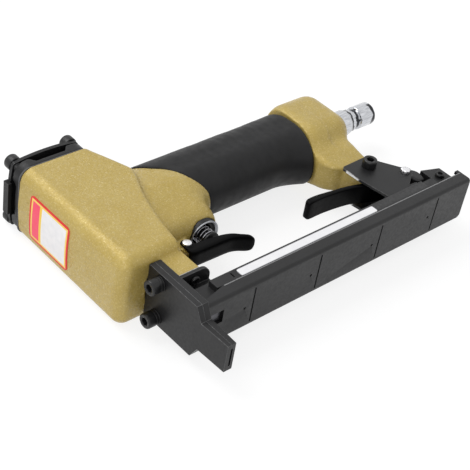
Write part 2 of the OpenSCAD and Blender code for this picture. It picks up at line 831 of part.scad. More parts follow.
module piston() color(grey) difference() {
    union() {
        y_rod(piston_low, piston_h, piston_r);
        y_rod(piston_low - stem_h, stem_h + over, stem_r);
    }
    difference() {
        y_rod(piston_groove_y - piston_groove / 2, piston_groove, piston_r + over);
        y_rod(piston_groove_y - piston_groove, 2 * piston_groove, piston_groove_r);
    }
    translate([-blade_t / 2 - fit, piston_low - stem_h - over, -blade_w / 2 - fit])
        cube([blade_t + 2 * fit, blade_top - piston_low + stem_h + over + fit, blade_w + 2 * fit]);
    translate([0, blade_pin_y, 0]) x_rod(-stem_r - over, 2 * stem_r + 2 * over, blade_pin_r + fit);
}

module piston_o_ring() color(rubber)
    y_ring(piston_groove_y, piston_groove_r + piston_ring_r + fit, piston_ring_r);

module driver_blade() color(steel) difference() {
    translate([-blade_t / 2, blade_tip, -blade_w / 2]) cube([blade_t, blade_top - blade_tip, blade_w]);
    translate([0, blade_pin_y, 0]) x_rod(-blade_t, 2 * blade_t, blade_pin_r + fit);
}

module blade_pin() color(steel) translate([0, blade_pin_y, 0])
    x_rod(-stem_r + over / 2, 2 * stem_r - over, blade_pin_r);

module head_valve() color("ivory") difference() {
    y_rod(head_valve_low, head_valve_h, head_valve_r);
    y_rod(head_valve_low - over, head_valve_h + 2 * over, valve_hub_r);
    y_rod(head_valve_top - valve_cup_h, valve_cup_h + over, head_spring_r + 2 * head_wire_r);
    difference() {
        y_rod(valve_ring_y - head_ring_r - fit, 2 * (head_ring_r + fit), head_valve_r + over);
        y_rod(valve_ring_y - 2 * head_ring_r, 4 * head_ring_r, head_groove_r);
    }
}

module head_valve_o_ring() color(rubber) y_ring(valve_ring_y, head_groove_r + head_ring_r + fit, head_ring_r);

module head_valve_spring() color(steel)
    translate([0, head_valve_top - valve_cup_h + run, 0]) rotate([-90, 0, 0])
        coil("head valve spring", head_spring_r, head_wire_r, ring_top - head_valve_top + valve_cup_h - 2 * run,
            head_spring_curls);

// Handle pieces

module grip_sleeve() color(rubber) difference() {
    intersection() {
        x_bar(grip_front, grip_back - grip_front) translate([0, handle_y])
            round_rect(grip_w, grip_h, core_r + grip_t);
        slab(grip_w) polygon(concat(grip_edge, [[grip_back, grip_low], [grip_back, grip_low + grip_h]]));
    }
    x_bar(grip_front - over, grip_back - grip_front + 2 * over) translate([0, handle_y])
        round_rect(core_w + 2 * fit, core_h + 2 * fit, core_r + fit);
}

// Turned about the handle's axis: bore, thread, base, neck, groove and nose
module air_plug() color(steel) translate([plug_x, handle_y, 0]) rotate([0, 90, 0]) difference() {
    groove = plug_base_l + plug_neck_l;
    nose = groove + plug_groove_l;
    rotate_extrude() polygon([[0, -plug_thread_l], [plug_thread_r, -plug_thread_l], [plug_thread_r, 0],
        [plug_base_r, 0], [plug_base_r, plug_base_l - plug_chamfer], [plug_neck_r, plug_base_l],
        [plug_neck_r, groove - plug_chamfer], [plug_groove_r, groove], [plug_groove_r, nose],
        [plug_nose_r, nose], [plug_nose_r, plug_l - plug_chamfer], [plug_nose_r - plug_chamfer, plug_l],
        [0, plug_l]]);
    translate([0, 0, -plug_thread_l - over]) cylinder(h = plug_l + plug_thread_l + 2 * over, r = plug_bore_r);
}

module plug_washer() color(grey) translate([0, handle_y, 0]) difference() {
    x_rod(knob_back, plug_washer_t, plug_base_r);
    x_rod(knob_back - over, plug_washer_t + 2 * over, plug_thread_r + fit);
}

module inlet_screen() color(steel) translate([0, handle_y, 0]) difference() {
    x_rod(knob_back - plug_thread_l + plug_washer_t - screen_t - fit, screen_t, plug_thread_r);
    for (a = [0:60:300]) rotate([a, 0, 0]) translate([0, plug_bore_r, 0])
        x_rod(knob_back - plug_thread_l - 2 * over, 4 * over, plug_bore_r / 4);
}

// Trigger and valve

// Lever with a round end, seen from the valve
module trigger_plan() {
    back = trigger_x - trigger_hub_r - over;
    end = trigger_x + trigger_l - trigger_w / 2;
    translate([back, -trigger_w / 2]) square([end - back, trigger_w]);
    translate([end, 0]) circle(trigger_w / 2);
}

module trigger() color(black) difference() {
    union() {
        intersection() {
            slab(trigger_w) polygon(shared(concat(trigger_top_shares, trigger_low_shares), trigger_x, trigger_y,
                trigger_l, trigger_drop));
            y_bar(trigger_y - 2 * trigger_drop, 4 * trigger_drop) trigger_plan();
        }
        translate([trigger_x, trigger_y, 0]) z_rod(trigger_w, trigger_hub_r);
    }
    // Slot for the lug, closed underneath
    slab(lug_w + 2 * run) translate([trigger_x - trigger_hub_r - over, trigger_y - trigger_hub_r - run])
        square([trigger_hub_r + over + lug_slot_l, 2 * trigger_drop]);
    translate([trigger_x, trigger_y, 0]) z_rod(trigger_w + 2 * over, trigger_pin_r + fit);
}

module trigger_pin() color(steel) translate([trigger_x, trigger_y, 0]) z_rod(trigger_pin_l, trigger_pin_r);

module valve_bushing() color(grey) translate([valve_x, 0, 0]) difference() {
    union() {
        y_rod(valve_low, valve_rim_h, valve_rim_r);
        y_rod(valve_low, valve_l, valve_barrel_r);
    }
    y_rod(valve_low - over, valve_l + 2 * over, valve_stem_r + run);
    y_rod(valve_low - over, valve_pocket_h + over, valve_pocket_r);
    difference() {
        y_rod(valve_ring_level - valve_ring_r - fit, 2 * (valve_ring_r + fit), valve_barrel_r + over);
        y_rod(valve_ring_level - 2 * valve_ring_r, 4 * valve_ring_r, valve_barrel_r - 2 * valve_ring_r);
    }
}

module bushing_o_ring() color(rubber) translate([valve_x, 0, 0])
    y_ring(valve_ring_level, valve_barrel_r - valve_ring_r, valve_ring_r - fit);

module valve_stem() color(steel) translate([valve_x, 0, 0]) difference() {
    union() {
        y_rod(stem_low + stem_button_rise, stem_button_h, stem_button_r);
        y_rod(stem_low, stem_l, valve_stem_r);
    }
    difference() {
        y_rod(stem_groove_y - stem_ring_r - fit, 2 * (stem_ring_r + fit), valve_stem_r + over);
        y_rod(stem_groove_y - 2 * stem_ring_r, 4 * stem_ring_r, valve_stem_r - 2 * stem_ring_r);
    }
}

module stem_o_ring() color(rubber) translate([valve_x, 0, 0])
    y_ring(stem_groove_y, valve_stem_r - stem_ring_r, stem_ring_r - fit);

module valve_spring() color(steel) translate([valve_x, valve_spring_low + fit, 0]) rotate([-90, 0, 0])
    coil("valve spring", valve_spring_r, valve_wire_r, valve_spring_top - valve_spring_low - 2 * fit,
        valve_spring_curls);

// Nose

module nose_screw_cuts() for (z = [-1, 1]) translate([0, nose_screw_y, z * nose_screw_gap / 2])
    x_rod(nose_front - over, cover_t + guide_t + 2 * over, screw_r + fit);

module nose_cover() color(black) difference() {
    intersection() {
        x_bar(nose_front, cover_t) polygon(nose_points);
        slab(nose_w) polygon([[nose_front, nose_h], [nose_front, plate_low], [nose_front + tip_slant, 0],
            [nose_split, 0], [nose_split, nose_h]]);
    }
    nose_screw_cuts();
}

module nose_guide() color(black) difference() {
    intersection() {
        x_bar(nose_split, guide_t) polygon(nose_points);
        slab(nose_w) polygon([[nose_split, nose_h], [nose_split, 0], [nose_back - tip_back_taper, 0],
            [nose_back, plate_low], [nose_back, nose_h]]);
    }
    translate([nose_split - over, -over, -slot_w / 2]) cube([slot_t + over, nose_h + 2 * over, slot_w]);
    // Opening that the staples come through
    translate([nose_split, mag_floor, -cavity_w / 2]) cube([guide_t + over, cavity_top - mag_floor, cavity_w]);
    nose_screw_cuts();
}

module nose_screws() color(black) for (z = [-1, 1])
    translate([nose_front - washer_t, nose_screw_y, z * nose_screw_gap / 2]) rotate([0, -90, 0])
        socket_screw(screw_r, nose_screw_l + washer_t - over, screw_head_r, screw_head_h, socket_w);

module nose_washers() color(black) for (z = [-1, 1])
    translate([nose_front - washer_t, nose_screw_y, z * nose_screw_gap / 2]) difference() {
        x_rod(0, washer_t, screw_head_r);
        x_rod(-over, washer_t + 2 * over, screw_r + fit);
    }

// Magazine

module front_bracket() color(black) difference() {
    union() {
        y_bar(ear_low, ear_t) {
            translate([boss_x + run, -boss_w / 2]) square([ear_l - ear_r, boss_w]);
            translate([boss_x + run + ear_l / 2, 0]) round_rect(ear_l, boss_w, ear_r);
        }
        slab(ear_web_w) translate([boss_x + run, guide_top]) square([ear_l, ear_low - guide_top + ear_t / 2]);
    }
    for (z = [-1, 1]) translate([ear_bolt_x, 0, z * ear_bolt_gap / 2])
        y_rod(ear_low - over, ear_t + 2 * over, small_screw_r + fit);
}

module bracket_bolts() color(black) for (z = [-1, 1])
    translate([ear_bolt_x, ear_low, z * ear_bolt_gap / 2]) rotate([90, 0, 0])
        socket_screw(small_screw_r, ear_bolt_l - over, small_head_r, small_head_h, small_head_r);

// The bar is the wide part over the channel's walls
module guide_section(bar) difference() {
    union() {
        translate([-guide_top_w / 2, rib_low]) square([guide_top_w, guide_top - rib_low]);
        translate([-rib_w / 2, rib_low]) square([rib_w, rib_h]);
        translate([-guide_wall_w / 2, guide_low]) square([guide_wall_w, rib_top - guide_low]);
        if (bar) translate([-bar_w / 2, bar_low]) square([bar_w, mag_top - bar_low]);
    }
    translate([-cavity_w / 2, guide_low - over]) square([cavity_w, cavity_top - guide_low + over]);
}

module magazine_guide() color(black) difference() {
    union() {
        x_bar(guide_x, guide_l) guide_section(false);
        x_bar(guide_x + mouth_l, bar_l) guide_section(true);
    }
    // Slit in the bar's side
    translate([guide_x + slit_step, mag_top - slit_h - lip_t, bar_w / 2 - mag_t])
        cube([slit_w, slit_h, mag_t + over]);
    for (x = [0, guide_bolt_gap]) translate([guide_bolt_x + x, 0, 0])
        y_rod(cavity_top - over, guide_top - cavity_top + 2 * over, small_screw_r + fit);
}

module channel_section() difference() {
    union() {
        translate([-mag_w / 2, mag_y + mag_r]) square([mag_w, wall_h - mag_r]);
        translate([0, mag_y + wall_h / 2]) round_rect(mag_w, wall_h, mag_r);
    }
    translate([-mag_w / 2 + mag_t, mag_floor]) square([mag_w - 2 * mag_t, wall_h - mag_t - lip_t]);
    translate([-mag_w / 2 + lip_in, mag_floor]) square([mag_w - 2 * lip_in, mag_h]);
}

module magazine_channel() color(black) difference() {
    union() {
        x_bar(mag_x, mag_l) channel_section();
        // Tabs at the rear ends of the walls
        for (z = [-1, 1]) translate([mag_x + mag_l - tab_l, mag_floor, z * (mag_w - mag_t) / 2 - mag_t / 2])
            cube([tab_l, tab_h - mag_t, mag_t]);
    }
    // Cross grooves and their dimples in the bottom face
    for (i = [0:3]) translate([mag_x + groove_first + i * groove_gap, mag_y, 0]) {
        translate([0, -over, groove_inset - mag_w / 2 + mag_r / 2])
            cube([groove_w, groove_d + over, mag_w - 2 * groove_inset - mag_r]);
        translate([-dimple_step, 0, 0]) y_rod(-over, groove_d + over, groove_dimple_r);
    }
    // Foot cut beside the nose
    translate([mag_x - over, mag_y - over, foot_cut_z]) cube([foot_cut_l + over, mag_t + 2 * over, foot_cut_w]);
    // Walls that fall towards the nose
    slab(mag_w + 2 * over) polygon([[mag_x - over, wall_top + over], [mag_x - over, mag_y + mouth_h],
        [mag_x, mag_y + mouth_h], [mag_x + mouth_slope_l, wall_top], [mag_x + mouth_slope_l, wall_top + over]]);
    // Rear corner cut off the lower edge
    translate([mag_x + mag_l, mag_y, -mag_w / 2]) rotate([0, 45, 0])
        cube([end_cut, 4 * mag_h, end_cut], center = true);
}

module staple_core() color(steel) difference() {
    translate([mag_x, mag_floor, -core_rail_w / 2]) cube([core_rail_l, core_rail_top - mag_floor, core_rail_w]);
    translate([mag_x - over, mag_floor + core_floor, -core_rail_w / 2 + core_wall])
        cube([core_rail_l - rod_wall + over, mag_h, core_rail_w - 2 * core_wall]);
    translate([0, rod_y, 0]) x_rod(mag_x + core_rail_l - rod_wall - over, rod_wall + 2 * over, rod_r + fit);
}

module pusher() color(steel) difference() {
    inner = core_rail_w - 2 * core_wall - 2 * run;
    outer = core_rail_w + 2 * run + 2 * cheek_t;
    union() {
        translate([pusher_x, pusher_low, -inner / 2])
            cube([pusher_l, core_rail_top - pusher_low + run + fit, inner]);
        translate([pusher_x, core_rail_top + run, -outer / 2]) cube([pusher_l, pusher_top_t, outer]);
        for (z = [-1, 1]) translate([pusher_x, pusher_low, z * (outer - cheek_t) / 2 - cheek_t / 2])
            cube([pusher_l, core_rail_top - pusher_low + run + fit, cheek_t]);
    }
    translate([0, rod_y, 0]) x_rod(pusher_x - over, pusher_l + 2 * over, pusher_hole_r);
}

module pusher_rod() color(steel) translate([0, rod_y, 0])
    x_rod(pusher_x + over / 2, mag_x + core_rail_l - pusher_x - over / 2, rod_r);

module pusher_spring() color(steel) translate([pusher_x + pusher_l + run, rod_y, 0]) rotate([0, 90, 0])
    coil("pusher spring", pusher_spring_r, pusher_wire_r,
        mag_x + core_rail_l - rod_wall - pusher_x - pusher_l - 2 * run, pusher_spring_curls);

module end_block() color(black) difference() {
    slab(end_block_w) translate([end_x, mag_floor]) polygon([[0, 0], [end_block_l, 0],
        [end_block_l, end_block_h - mag_t - end_fall], [0, end_block_h - mag_t]]);
    translate([end_x + end_block_l / 2, mag_y + end_screw_rise, end_block_w / 2 - end_screw_l])
        cylinder(h = end_screw_l + over, r = small_screw_r + fit);
}

module end_block_screw() color(black)
    translate([end_x + end_block_l / 2, mag_y + end_screw_rise, end_block_w / 2])
        socket_screw(small_screw_r, end_screw_l - over, small_head_r, small_head_h, small_head_r);

// Rear bracket and latch

// Folded from one plate: two cheeks and the base between them
module rear_bracket() color(black) difference() {
    slab(bracket_w) polygon(shared(bracket_shares, bracket_x, bracket_low, bracket_l, bracket_h));
    slab(bracket_gap) translate([bracket_x - over, bracket_low + bracket_base_t])
        square([bracket_l + 2 * over, bracket_h]);
    translate([bracket_screw_x, bracket_screw_y, 0]) z_rod(bracket_w + 2 * over, screw_r + fit);
    translate([latch_x, latch_y, 0]) z_rod(bracket_w + 2 * over, latch_pin_r + fit);
    for (x = [0, guide_bolt_gap]) translate([guide_bolt_x + x, 0, 0])
        y_rod(bracket_low - over, bracket_base_t + 2 * over, small_screw_r + fit);
}

module bracket_screw() color(black) translate([bracket_screw_x, bracket_screw_y, bracket_w / 2])
    socket_screw(screw_r, bracket_screw_l, screw_head_r, screw_head_h, socket_w);

module bracket_nut() color(black)
    translate([bracket_screw_x, bracket_screw_y, -bracket_w / 2 - bracket_nut_h]) difference() {
        cylinder(h = bracket_nut_h, r = bracket_nut_r, $fn = 6);
        translate([0, 0, -over]) cylinder(h = bracket_nut_h + 2 * over, r = screw_r + fit);
    }

module guide_bolts() color(black) for (x = [0, guide_bolt_gap])
    translate([guide_bolt_x + x, bracket_low + bracket_base_t, 0]) rotate([-90, 0, 0])
        socket_screw(small_screw_r, guide_bolt_l, small_head_r, small_head_h, small_head_r);

module latch_lever() color(black) difference() {
    union() {
        slab(latch_w) polygon(shared(latch_shares, latch_x, latch_y, latch_l, latch_rise));
        translate([latch_x, latch_y, 0]) z_rod(latch_hub_w, latch_hub_r);
        slab(hook_w) polygon(shared(hook_shares, latch_x, latch_y, hook_l, hook_l));
    }
    translate([latch_x, latch_y, 0]) z_rod(bracket_w, latch_pin_r + fit);
}

module latch_pin() color(steel) translate([latch_x, latch_y, 0]) z_rod(latch_pin_l, latch_pin_r);

module latch_spring() color(steel)
    translate([latch_spring_x, bracket_low + bracket_base_t + fit, 0]) rotate([-90, 0, 0])
        coil("latch spring", latch_spring_r, latch_wire_r, latch_spring_l, latch_spring_curls);

// Labels

module front_label() color("white")
    translate([-head_front - label_t, label_y - label_h / 2, 0])
        x_bar(0, label_t) round_rect(label_w, label_h, label_r);

module magazine_label() color("white")
    translate([strip_x + strip_l / 2, strip_y + strip_h / 2, bar_w / 2])
        linear_extrude(label_t) round_rect(strip_l, strip_h, strip_r);

housing();
cap_gasket();
cap_ring();
cap_plate();
cap_screws();
cylinder_sleeve();
sleeve_o_rings();
bumper();
piston();
piston_o_ring();
driver_blade();
blade_pin();
head_valve();
head_valve_o_ring();
head_valve_spring();
grip_sleeve();
air_plug();
plug_washer();
inlet_screen();
trigger();
trigger_pin();
valve_bushing();
bushing_o_ring();
valve_stem();
stem_o_ring();
valve_spring();
nose_cover();
nose_guide();
nose_screws();
nose_washers();
front_bracket();
bracket_bolts();
magazine_guide();
magazine_channel();
staple_core();
pusher();
pusher_spring();
pusher_rod();
end_block();
end_block_screw();
rear_bracket();
bracket_screw();
bracket_nut();
guide_bolts();
latch_lever();
latch_pin();
latch_spring();
front_label();
magazine_label();
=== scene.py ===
import json
import math

import bmesh
import bpy
import numpy as np
from mathutils import Matrix

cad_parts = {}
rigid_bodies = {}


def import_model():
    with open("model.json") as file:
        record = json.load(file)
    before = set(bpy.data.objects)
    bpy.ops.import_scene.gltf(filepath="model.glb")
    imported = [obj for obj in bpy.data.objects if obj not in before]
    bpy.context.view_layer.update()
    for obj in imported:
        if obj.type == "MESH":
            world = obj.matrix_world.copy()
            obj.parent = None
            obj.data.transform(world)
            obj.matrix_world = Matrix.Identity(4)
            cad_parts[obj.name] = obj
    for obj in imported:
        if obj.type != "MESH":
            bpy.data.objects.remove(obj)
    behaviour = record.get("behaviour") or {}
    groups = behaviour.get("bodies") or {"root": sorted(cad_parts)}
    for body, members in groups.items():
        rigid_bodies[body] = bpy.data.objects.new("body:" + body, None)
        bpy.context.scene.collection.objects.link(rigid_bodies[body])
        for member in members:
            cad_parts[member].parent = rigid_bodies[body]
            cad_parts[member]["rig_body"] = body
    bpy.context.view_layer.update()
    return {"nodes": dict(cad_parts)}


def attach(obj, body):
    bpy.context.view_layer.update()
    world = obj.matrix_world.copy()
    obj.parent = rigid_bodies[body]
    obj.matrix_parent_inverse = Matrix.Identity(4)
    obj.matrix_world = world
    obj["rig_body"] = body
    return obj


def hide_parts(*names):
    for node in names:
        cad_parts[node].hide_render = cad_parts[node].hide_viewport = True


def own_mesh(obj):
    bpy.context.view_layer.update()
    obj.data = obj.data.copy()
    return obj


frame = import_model()
MM = 0.001


# Places and sizes in mm that several pieces share

HANDLE = 115.2
HEAD_FRONT = -20.5
HEAD_HALF = 21.97
HEAD_BOW = 0.0036
TRIGGER_PIN = (31, 71)
LATCH_PIN = (178, 51)
BRACKET_SCREW = (163, 66)
NOSE_SCREW = (50, 11)
VALVE_X = 48
PLUG_FACE = 180.55
PIN_R = 2.5
HOLE_R = 2.55
LABEL_SIZE = (28, 34)
LABEL_Y = 120.4
STRIP_SIZE = (100, 5)
STRIP_PLACE = (81.35, 32.6)
SIDES = (-1, 1)


# Materials

def colour(red, green, blue):
    """Linear colour of an sRGB colour given in 0 to 255."""
    parts = []
    for value in (red, green, blue):
        share = value / 255
        parts.append(share / 12.92 if share <= 0.04045 else ((share + 0.055) / 1.055) ** 2.4)
    return (*parts, 1)


class Finish:
    """A node material with short ways to add its textures."""

    def __init__(self, name, roughness, metallic=0.0, specular=0.5):
        self.material = bpy.data.materials.new(name)
        self.material.use_nodes = True
        self.tree = self.material.node_tree
        self.shader = self.tree.nodes["Principled BSDF"]
        self.set("Roughness", roughness)
        self.set("Metallic", metallic)
        self.set("Specular IOR Level", specular)
        self.place = self.tree.nodes.new("ShaderNodeTexCoord").outputs["Object"]

    def set(self, socket, value):
        self.shader.inputs[socket].default_value = value

    def link(self, source, socket):
        self.tree.links.new(source, socket)

    def feed(self, source, socket):
        self.link(source, self.shader.inputs[socket])

    def stretched(self, x, y, z):
        node = self.tree.nodes.new("ShaderNodeMapping")
        node.inputs["Scale"].default_value = (x, y, z)
        self.link(self.place, node.inputs["Vector"])
        return node.outputs["Vector"]

    def noise(self, size, detail=2.0, place=None):
        """Clouds about size metres across, from 0 to 1."""
        node = self.tree.nodes.new("ShaderNodeTexNoise")
        node.inputs["Scale"].default_value = 1 / size
        node.inputs["Detail"].default_value = detail
        self.link(place or self.place, node.inputs["Vector"])
        return node.outputs["Fac"]

    def cells(self, size):
        """A random colour for each small cell."""
        node = self.tree.nodes.new("ShaderNodeTexVoronoi")
        node.inputs["Scale"].default_value = 1 / size
        self.link(self.place, node.inputs["Vector"])
        return node.outputs["Color"]

    def flakes(self, size):
        """A random value from 0 to 1 for each small cell."""
        split = self.tree.nodes.new("ShaderNodeSeparateColor")
        self.link(self.cells(size), split.inputs["Color"])
        return split.outputs["Red"]

    def glitter(self, size, tilt):
        """Turns the clear coat of each small cell another way, by up to half of tilt."""
        middle = self.vector("SUBTRACT", self.cells(size), (0.5, 0.5, 0.5))
        lean = self.vector("MULTIPLY", middle, (tilt, tilt, tilt))
        flat = self.tree.nodes.new("ShaderNodeNewGeometry").outputs["Normal"]
        self.feed(self.vector("NORMALIZE", self.vector("ADD", flat, lean)), "Coat Normal")

    def vector(self, kind, first, second=(0.0, 0.0, 0.0)):
        node = self.tree.nodes.new("ShaderNodeVectorMath")
        node.operation = kind
        self.plug(first, node.inputs[0])
        self.plug(second, node.inputs[1])
        return node.outputs[0]

    def ramp(self, source, *stops):
        node = self.tree.nodes.new("ShaderNodeValToRGB")
        points = node.color_ramp.elements
        while len(points) < len(stops):
            points.new(0.5)
        for point, (place, shade) in zip(points, stops):
            point.position = place
            point.color = shade
        self.link(source, node.inputs["Fac"])
        return node.outputs["Color"]

    def mix(self, share, first, second):
        node = self.tree.nodes.new("ShaderNodeMix")
        node.data_type = "RGBA"
        self.plug(share, node.inputs[0])
        self.plug(first, node.inputs[6])
        self.plug(second, node.inputs[7])
        return node.outputs[2]

    def math(self, kind, first, second=0.0):
        node = self.tree.nodes.new("ShaderNodeMath")
        node.operation = kind
        self.plug(first, node.inputs[0])
        self.plug(second, node.inputs[1])
        return node.outputs[0]

    def plug(self, value, socket):
        if isinstance(value, bpy.types.NodeSocket):
            self.link(value, socket)
        else:
            socket.default_value = value

    def span(self, source, low, high, bottom, top):
        """Maps low to high onto bottom to top, and holds the ends."""
        node = self.tree.nodes.new("ShaderNodeMapRange")
        node.inputs["From Min"].default_value = low
        node.inputs["From Max"].default_value = high
        node.inputs["To Min"].default_value = bottom
        node.inputs["To Max"].default_value = top
        self.link(source, node.inputs["Value"])
        return node.outputs["Result"]

    def band(self, source, low, high, soft):
        """1 between low and high, and 0 outside, with edges soft wide."""
        rise = self.span(source, low, low + soft, 0, 1)
        fall = self.span(source, high - soft, high, 1, 0)
        return self.math("MULTIPLY", rise, fall)

    def reach(self, source, middle, half):
        """How far a place lies beyond half from the middle, below 0 inside."""
        away = self.math("ABSOLUTE", self.math("SUBTRACT", source, middle))
        return self.math("SUBTRACT", away, half)

    def axes(self):
        node = self.tree.nodes.new("ShaderNodeSeparateXYZ")
        self.link(self.place, node.inputs["Vector"])
        return node.outputs["X"], node.outputs["Y"], node.outputs["Z"]

    def bump(self, height, depth, strength=1.0):
        node = self.tree.nodes.new("ShaderNodeBump")
        node.inputs["Strength"].default_value = strength
        node.inputs["Distance"].default_value = depth
        self.link(height, node.inputs["Height"])
        self.feed(node.outputs["Normal"], "Normal")


def gold_paint():
    """Gold paint with a fine hammered skin and bright flakes, and bare metal at two machined faces."""
    paint = Finish("gold_paint", 0.4, specular=0.34)
    flake = paint.flakes(0.0005)
    cloud = paint.noise(0.012, 3)
    speck = paint.ramp(
        flake,
        (0.0, colour(169, 144, 68)),
        (0.5, colour(186, 162, 85)),
        (0.88, colour(192, 169, 94)),
        (1.0, colour(218, 198, 138)),
    )
    warm = paint.ramp(cloud, (0.3, colour(182, 157, 77)), (0.7, colour(193, 170, 94)))
    skin = paint.mix(0.5, speck, warm)
    x, y, z = paint.axes()
    side = paint.math("ABSOLUTE", z)
    behind = paint.span(x, 0.1466, 0.1468, 0, 1)
    below = paint.span(y, 0.0733, 0.0735, 1, 0)
    outside = paint.span(side, 0.0074, 0.0076, 0, 1)
    leg = paint.math("MULTIPLY", paint.math("MULTIPLY", behind, below), outside)
    boss = paint.span(y, 0.0463, 0.0465, 1, 0)
    bare = paint.math("MAXIMUM", leg, boss)
    streak = paint.noise(0.0006, 2, paint.stretched(1, 0.15, 1))
    metal = paint.ramp(streak, (0.3, colour(196, 196, 194)), (0.7, colour(238, 238, 236)))
    paint.feed(paint.mix(bare, skin, metal), "Base Color")
    paint.feed(paint.span(bare, 0, 1, 0.16, 0.8), "Metallic")
    paint.feed(paint.span(flake, 0.75, 1.0, 0.5, 0.3), "Roughness")
    paint.bump(paint.noise(0.0013, 2), 0.00016, 0.6)
    paint.set("Coat Weight", 0.4)
    paint.set("Coat Roughness", 0.1)
    paint.glitter(0.0008, 0.8)
    return paint.material


def black_metal(name, shade, roughness, grain, worn, specular=0.5):
    """Satin black finish: fine grain, faint clouds, and rubbed spots where worn is above 0."""
    metal = Finish(name, roughness, specular=specular)
    low = colour(shade - 4, shade - 4, shade - 3)
    high = colour(shade + 4, shade + 4, shade + 5)
    base = metal.ramp(metal.noise(0.02, 3), (0.3, low), (0.7, high))
    if worn > 0:
        rub = metal.span(metal.noise(0.0022, 3), 0.62 - worn / 4, 0.78 - worn / 4, 0, worn)
        base = metal.mix(rub, base, colour(150, 150, 150))
        metal.feed(metal.math("MULTIPLY", rub, 0.7), "Metallic")
    metal.feed(base, "Base Color")
    smear = metal.noise(0.0015, 3)
    metal.feed(metal.span(smear, 0.3, 0.7, roughness - 0.06, roughness + 0.08), "Roughness")
    metal.bump(metal.noise(grain, 2), 0.00003, 0.5)
    return metal.material


def bracket_paint():
    """Satin black with a bare cut edge at the front of the plate."""
    metal = Finish("bracket_paint", 0.42, specular=0.34)
    x, y, _ = metal.axes()
    front = metal.span(x, 0.1484, 0.1486, 1, 0)
    cut = metal.math("MULTIPLY", front, metal.band(y, 0.0590, 0.0700, 0.0006))
    black = metal.ramp(metal.noise(0.02, 3), (0.3, colour(22, 22, 23)), (0.7, colour(30, 30, 31)))
    grain = metal.noise(0.0006, 2)
    steel = metal.ramp(grain, (0.3, colour(232, 232, 232)), (0.7, colour(252, 252, 252)))
    metal.feed(metal.mix(cut, black, steel), "Base Color")
    metal.feed(metal.math("MULTIPLY", cut, 0.4), "Metallic")
    metal.bump(metal.noise(0.0003, 2), 0.00003, 0.5)
    return metal.material


def plug_plate():
    """Bright plating with painted shade in the groove and the turned steps, and a painted dark reflection on
    the lower half near the end.
    """
    metal = Finish("bright_plug", 0.12, metallic=1.0)
    x, y, _ = metal.axes()
    wave = metal.math("ADD", x, metal.math("MULTIPLY", metal.noise(0.004, 1), 0.004))
    # The groove and step bands are painted shade in the recesses; the end band is a painted dark reflection
    # on the lower half of the plug's end
    groove = metal.band(wave, 0.2022, 0.2050, 0.0004)
    step = metal.band(wave, 0.1974, 0.1991, 0.0003)
    end = metal.band(wave, 0.2146, 0.2180, 0.0004)
    end = metal.math("MULTIPLY", end, metal.span(y, 0.1150, 0.1156, 1, 0))
    painted_shade_and_reflection = metal.math("MAXIMUM", metal.math("MAXIMUM", groove, step), end)
    streak = metal.noise(0.0009, 3, metal.stretched(0.2, 1, 1))
    bright = metal.ramp(streak, (0.3, colour(178, 180, 184)), (0.7, colour(216, 218, 222)))
    metal.feed(metal.mix(painted_shade_and_reflection, bright, colour(52, 53, 56)), "Base Color")
    metal.feed(metal.span(streak, 0.3, 0.7, 0.08, 0.18), "Roughness")
    return metal.material


def bright_metal(name, low, high, roughness, lines, along):
    """Bare metal with fine lines: along gives the stretch of the lines on each axis."""
    metal = Finish(name, roughness, metallic=1.0)
    streak = metal.noise(lines, 3, metal.stretched(*along))
    metal.feed(metal.ramp(streak, (0.3, colour(*low)), (0.7, colour(*high))), "Base Color")
    metal.feed(metal.span(streak, 0.3, 0.7, roughness - 0.05, roughness + 0.08), "Roughness")
    metal.bump(streak, 0.00002, 0.35)
    return metal.material


def rubber(name, shade, specular):
    """Matt black rubber: faint clouds and a fine moulded grain."""
    skin = Finish(name, 0.52, specular=specular)
    low = colour(shade - 3, shade - 3, shade - 2)
    high = colour(shade + 5, shade + 5, shade + 6)
    skin.feed(skin.ramp(skin.noise(0.018, 2), (0.3, low), (0.7, high)), "Base Color")
    skin.feed(skin.span(skin.noise(0.004, 3), 0.3, 0.7, 0.46, 0.62), "Roughness")
    skin.bump(skin.noise(0.0006, 2), 0.00005, 0.5)
    skin.set("Sheen Weight", 0.04)
    return skin.material


def plain_skin(name, low, high, roughness, grain):
    """Moulded plastic or fibre: faint clouds and a fine grain."""
    skin = Finish(name, roughness)
    cloud = skin.noise(0.006, 3)
    skin.feed(skin.ramp(cloud, (0.3, colour(*low)), (0.7, colour(*high))), "Base Color")
    skin.bump(skin.noise(grain, 2), 0.00003, 0.4)
    return skin.material


def front_film():
    """Blank sticker: red rim, pale yellow line, pink red band at the top and a white field."""
    film = Finish("front_film", 0.4, specular=0.25)
    _, y, z = film.axes()
    width, height = LABEL_SIZE
    across = film.reach(z, 0, width / 2 * MM)
    along = film.reach(y, LABEL_Y * MM, height / 2 * MM)
    edge = film.math("MAXIMUM", across, along)
    cloud = film.noise(0.004, 3)
    paper = film.ramp(cloud, (0.3, colour(240, 240, 242)), (0.7, colour(250, 249, 250)))
    print_cloud = film.noise(0.006, 2)
    pink = film.ramp(print_cloud, (0.3, colour(255, 80, 110)), (0.7, colour(255, 94, 122)))
    foot = 0.1278
    line = film.span(film.reach(y, foot, 0), 0.0008, 0.0011, 1, 0)
    top = film.span(y, foot - 0.0001, foot + 0.0001, 0, 1)
    face = film.mix(top, paper, pink)
    face = film.mix(line, face, colour(255, 214, 84))
    face = film.mix(film.span(edge, -0.0026, -0.0022, 0, 1), face, colour(255, 220, 110))
    face = film.mix(film.span(edge, -0.0014, -0.0011, 0, 1), face, colour(232, 44, 52))
    film.feed(face, "Base Color")
    film.bump(film.noise(0.003, 2), 0.00003, 0.3)
    return film.material


